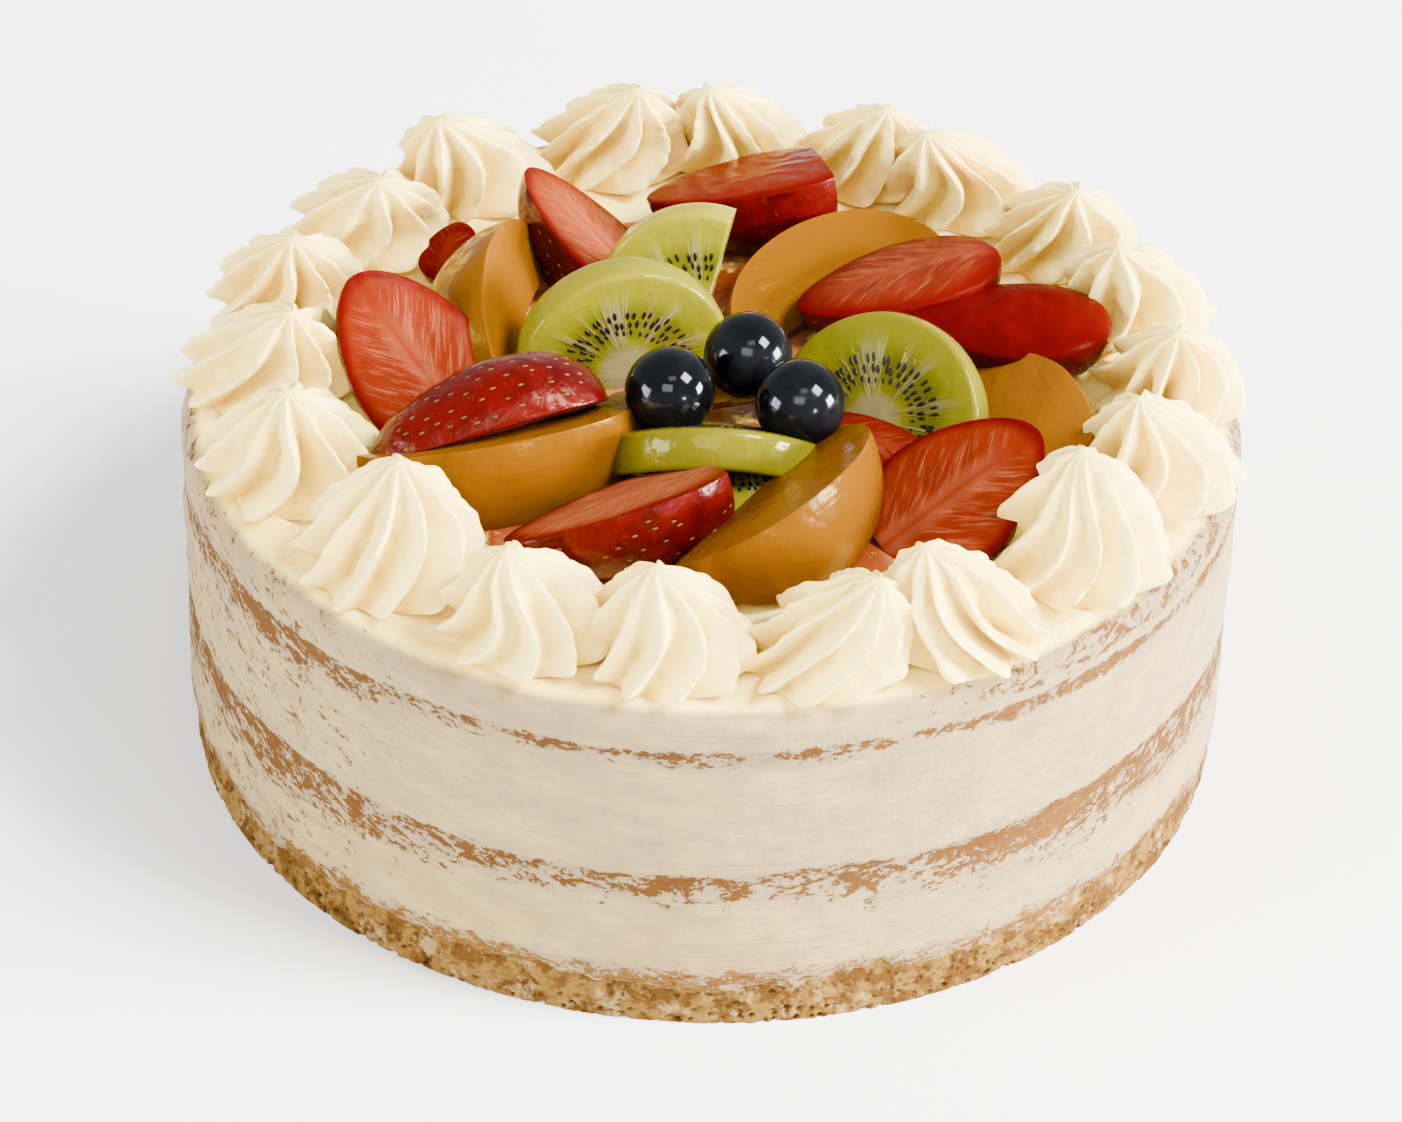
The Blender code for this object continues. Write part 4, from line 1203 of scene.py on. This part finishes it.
def cut_peach(place):
    """Spin one peach slice from its crescent outline."""
    name, middle, along, skin, length, depth, wedge, hollow, light = place
    half = length / 2 * MM
    skin_depth = depth * MM
    pit_tip = 0.6 * PEACH_TIP
    pit_depth = hollow * skin_depth
    outline = []
    outer = PEACH_OUTLINE * 5 // 8
    inner = PEACH_OUTLINE - outer
    for step in range(outer):
        turn = math.pi * step / (outer - 1)
        outline.append((PEACH_TIP + (skin_depth - PEACH_TIP) * math.sin(turn) ** 0.78,
                        half * math.cos(turn)))
    for step in range(1, inner + 1):
        turn = math.pi * step / (inner + 1)
        outline.append((pit_tip + (pit_depth - pit_tip) * math.sin(turn),
                        -0.86 * half * math.cos(turn)))
    start = math.radians(-0.5 * wedge)
    start_shape()
    bpy.ops.mesh.primitive_circle_add(vertices=len(outline), radius=1.0, fill_type="NGON")
    piece = take_piece("glazed_" + name)
    move_points(piece, [(out * math.sin(start), out * math.cos(start), height)
                        for out, height in outline])
    bpy.ops.object.mode_set(mode="EDIT")
    bpy.ops.mesh.select_all(action="SELECT")
    bpy.ops.mesh.spin(steps=PEACH_STEPS, angle=math.radians(wedge), center=(0.0, 0.0, 0.0),
                      axis=(0.0, 0.0, 1.0))
    bpy.ops.object.mode_set(mode="OBJECT")
    face_outwards(piece)
    round_edges(piece, PEACH_EDGE_ROUND, 4, 35)
    points = points_of(piece)
    keep_pattern(piece, "shape", np.c_[points[:, :2] / skin_depth, points[:, 2] / half])
    # Share of the flesh colour that this slice keeps: painted light and shade
    keep_pattern(piece, "light", np.full(len(points), light))
    swell = ripple(points, 0.009, length) + 0.4 * ripple(points, 0.004, depth)
    away = points.copy()
    away[:, 2] *= 0.2
    away /= np.maximum(np.linalg.norm(away, axis=1), 0.0001)[:, None]
    move_points(piece, points + away * (PEACH_SWELL * swell)[:, None])
    piece.data.transform(pose_matrix(middle, along, skin))
    shade_smooth(piece, 50)
    return piece


class CAKE_OT_peaches(bpy.types.Operator):
    """Peach slices"""

    bl_idname = "cake.peaches"
    bl_label = "Peach Slices"

    def execute(self, context):
        finish = peach_finish(context.scene.cake_colours)
        for place in PEACHES:
            piece = cut_peach(place)
            piece.data.materials.append(finish)
            hand_over(piece, "peach", place[0])
        return {"FINISHED"}


def slice_kiwi(place, sizes, chance):
    """Turn one kiwi slice, halve it and return the places of its seeds."""
    name, core, face, arc, past_core, sag, light = place
    half = KIWI_THICKNESS / 2
    edge = KIWI_EDGE_ROUND
    rings = 14
    outline = [((KIWI_RADIUS - edge) * ring / rings, half) for ring in range(rings)]
    for step in range(5):
        turn = math.radians(90 * step / 4)
        outline.append((KIWI_RADIUS - edge + edge * math.sin(turn), half - edge + edge * math.cos(turn)))
    outline += [(KIWI_RADIUS + 0.0003, half * 0.35), (KIWI_RADIUS + 0.0003, -half * 0.35)]
    outline += [(out, -height) for out, height in reversed(outline[:-2])]
    piece = turn_outline("glazed_" + name, outline, 120)
    cut_off(piece, (0.0, -past_core * MM, 0.0), (0.0, -1.0, 0.0))
    face_outwards(piece)
    round_edges(piece, 0.0006, 2, 50)
    points = points_of(piece)
    keep_pattern(piece, "shape", np.c_[points[:, :2] / KIWI_RADIUS, points[:, 2] / half])
    # Share of the flesh colour that this slice keeps: painted light and shade
    keep_pattern(piece, "light", np.full(len(points), light))
    reach = np.hypot(points[:, 0], points[:, 1]) / KIWI_RADIUS
    dip = np.exp(-((reach - 0.5) / 0.16) ** 2) * (np.abs(points[:, 2]) > half * 0.9)
    points[:, 2] -= np.sign(points[:, 2]) * KIWI_DIP * dip
    points[:, 2] -= sag * MM * (points[:, 0] / KIWI_RADIUS) ** 2
    move_points(piece, points)
    matrix = pose_matrix(core, face, arc)
    places = []
    for side in (1.0, -1.0):
        for ring, spacing, shift in KIWI_SEED_RINGS:
            angle = -40.0 + shift
            while angle < 220.0:
                turn = math.radians(angle + chance.uniform(-2.2, 2.2))
                out = KIWI_RADIUS * (ring + chance.uniform(-0.025, 0.025))
                x = out * math.cos(turn)
                y = out * math.sin(turn)
                angle += spacing
                if y < (0.9 - past_core) * MM:
                    continue
                z = side * (half - KIWI_DIP) - sag * MM * (x / KIWI_RADIUS) ** 2
                spot = matrix @ Vector((x, y, z))
                normal = matrix.to_3x3() @ Vector((0.0, 0.0, side))
                along = matrix.to_3x3() @ Vector((-math.cos(turn), -math.sin(turn), 0.0))
                length = sizes.kiwi_seed * chance.uniform(0.85, 1.1)
                places.append(seed_matrix(spot, normal, along, length, length * 0.62,
                                          KIWI_SEED_THICKNESS))
    piece.data.transform(matrix)
    shade_smooth(piece, 45)
    return piece, places


class CAKE_OT_kiwis(bpy.types.Operator):
    """Half slices of kiwi with their seeds"""

    bl_idname = "cake.kiwis"
    bl_label = "Kiwi Slices"

    def execute(self, context):
        colours = context.scene.cake_colours
        finish = kiwi_finish(colours)
        chance = random.Random(7)
        places = []
        for place in KIWIS:
            piece, seeds = slice_kiwi(place, context.scene.cake_sizes, chance)
            piece.data.materials.append(finish)
            hand_over(piece, "kiwi", place[0])
            places += seeds
        seeds = strew("kiwi_seeds", seed_shape(8, 6), places)
        seeds.data.materials.append(seed_finish("kiwi_seed", colours.kiwi_seed))
        hand_over(seeds, "kiwi")
        return {"FINISHED"}


class CAKE_OT_berries(bpy.types.Operator):
    """Glazed blueberries"""

    bl_idname = "cake.berries"
    bl_label = "Blueberries"

    def execute(self, context):
        finish = berry_finish(context.scene.cake_colours)
        for name, middle in BERRIES:
            start_shape()
            bpy.ops.mesh.primitive_uv_sphere_add(segments=72, ring_count=48, radius=BERRY_RADIUS)
            piece = take_piece("glazed_" + name)
            points = points_of(piece)
            out = np.hypot(points[:, 0], points[:, 1])
            points[:, 2] *= 0.95
            ring = np.exp(-((out - BERRY_CROWN) / 0.0007) ** 2)
            pit = np.exp(-(out / 0.0020) ** 2)
            points[:, 2] += (points[:, 2] > 0.0) * (ring * BERRY_CROWN_RISE - BERRY_CROWN_PIT * pit)
            points *= (1.0 + 0.012 * ripple(points, 0.007, middle[0]))[:, None]
            move_points(piece, points)
            piece.data.transform(pose_matrix(middle, (0.2, 0.80, -0.55), (1.0, 0.0, 0.0)))
            piece.data.materials.append(finish)
            shade_smooth(piece, 80)
            hand_over(piece, "blueberry", name)
        return {"FINISHED"}


class CAKE_OT_glaze(bpy.types.Operator):
    """Glaze and juice that has run together under the fruit"""

    bl_idname = "cake.glaze"
    bl_label = "Run Glaze"

    def execute(self, context):
        outline = [(POOL_RADIUS * ring / 40.0, TOP_FLOOR + 0.0006) for ring in range(40)]
        outline += [(0.0645, TOP_FLOOR + 0.0003), (0.0655, TOP_FLOOR - 0.0003)]
        outline += [(POOL_RADIUS, TOP_FLOOR - POOL_DEPTH), (0.0, TOP_FLOOR - POOL_DEPTH)]
        piece = turn_outline("run_glaze", outline, 160)
        points = points_of(piece)
        wave = ripple(points, 0.012, 11.0)
        points[:, :2] *= (1.0 + 0.06 * ripple(points, 0.025, 12.0))[:, None]
        points[:, 2] += (points[:, 2] > TOP_FLOOR) * 0.0004 * wave
        move_points(piece, points)
        piece.data.materials.append(glaze_finish(context.scene.cake_colours))
        shade_smooth(piece, 60)
        hand_over(piece, "strawberry")
        return {"FINISHED"}


class CAKE_PT_panel(bpy.types.Panel):
    """Steps and settings of the cake"""

    bl_idname = "CAKE_PT_panel"
    bl_label = "Fruit Topped Cake"
    bl_space_type = "VIEW_3D"
    bl_region_type = "UI"
    bl_category = "Cake"

    def draw(self, context):
        for operator in OPERATORS:
            self.layout.operator(operator.bl_idname)
        for group in (context.scene.cake_sizes, context.scene.cake_colours):
            for name in group.__annotations__:
                self.layout.prop(group, name)


OPERATORS = (
    CAKE_OT_stage,
    CAKE_OT_sponge,
    CAKE_OT_coat,
    CAKE_OT_rosettes,
    CAKE_OT_strawberries,
    CAKE_OT_peaches,
    CAKE_OT_kiwis,
    CAKE_OT_berries,
    CAKE_OT_glaze,
)
CLASSES = (CakeSizes, CakeColours) + OPERATORS + (CAKE_PT_panel,)


def register():
    """Register the classes and the settings."""
    for kind in CLASSES:
        bpy.utils.register_class(kind)
    bpy.types.Scene.cake_sizes = PointerProperty(type=CakeSizes)
    bpy.types.Scene.cake_colours = PointerProperty(type=CakeColours)


def unregister():
    """Remove the settings and the classes."""
    del bpy.types.Scene.cake_colours
    del bpy.types.Scene.cake_sizes
    for kind in reversed(CLASSES):
        bpy.utils.unregister_class(kind)


def main():
    """Dress the cake."""
    register()
    bpy.ops.cake.stage()
    bpy.ops.cake.sponge()
    bpy.ops.cake.coat()
    bpy.ops.cake.rosettes()
    bpy.ops.cake.strawberries()
    bpy.ops.cake.peaches()
    bpy.ops.cake.kiwis()
    bpy.ops.cake.berries()
    bpy.ops.cake.glaze()


if __name__ == "__main__":
    main()
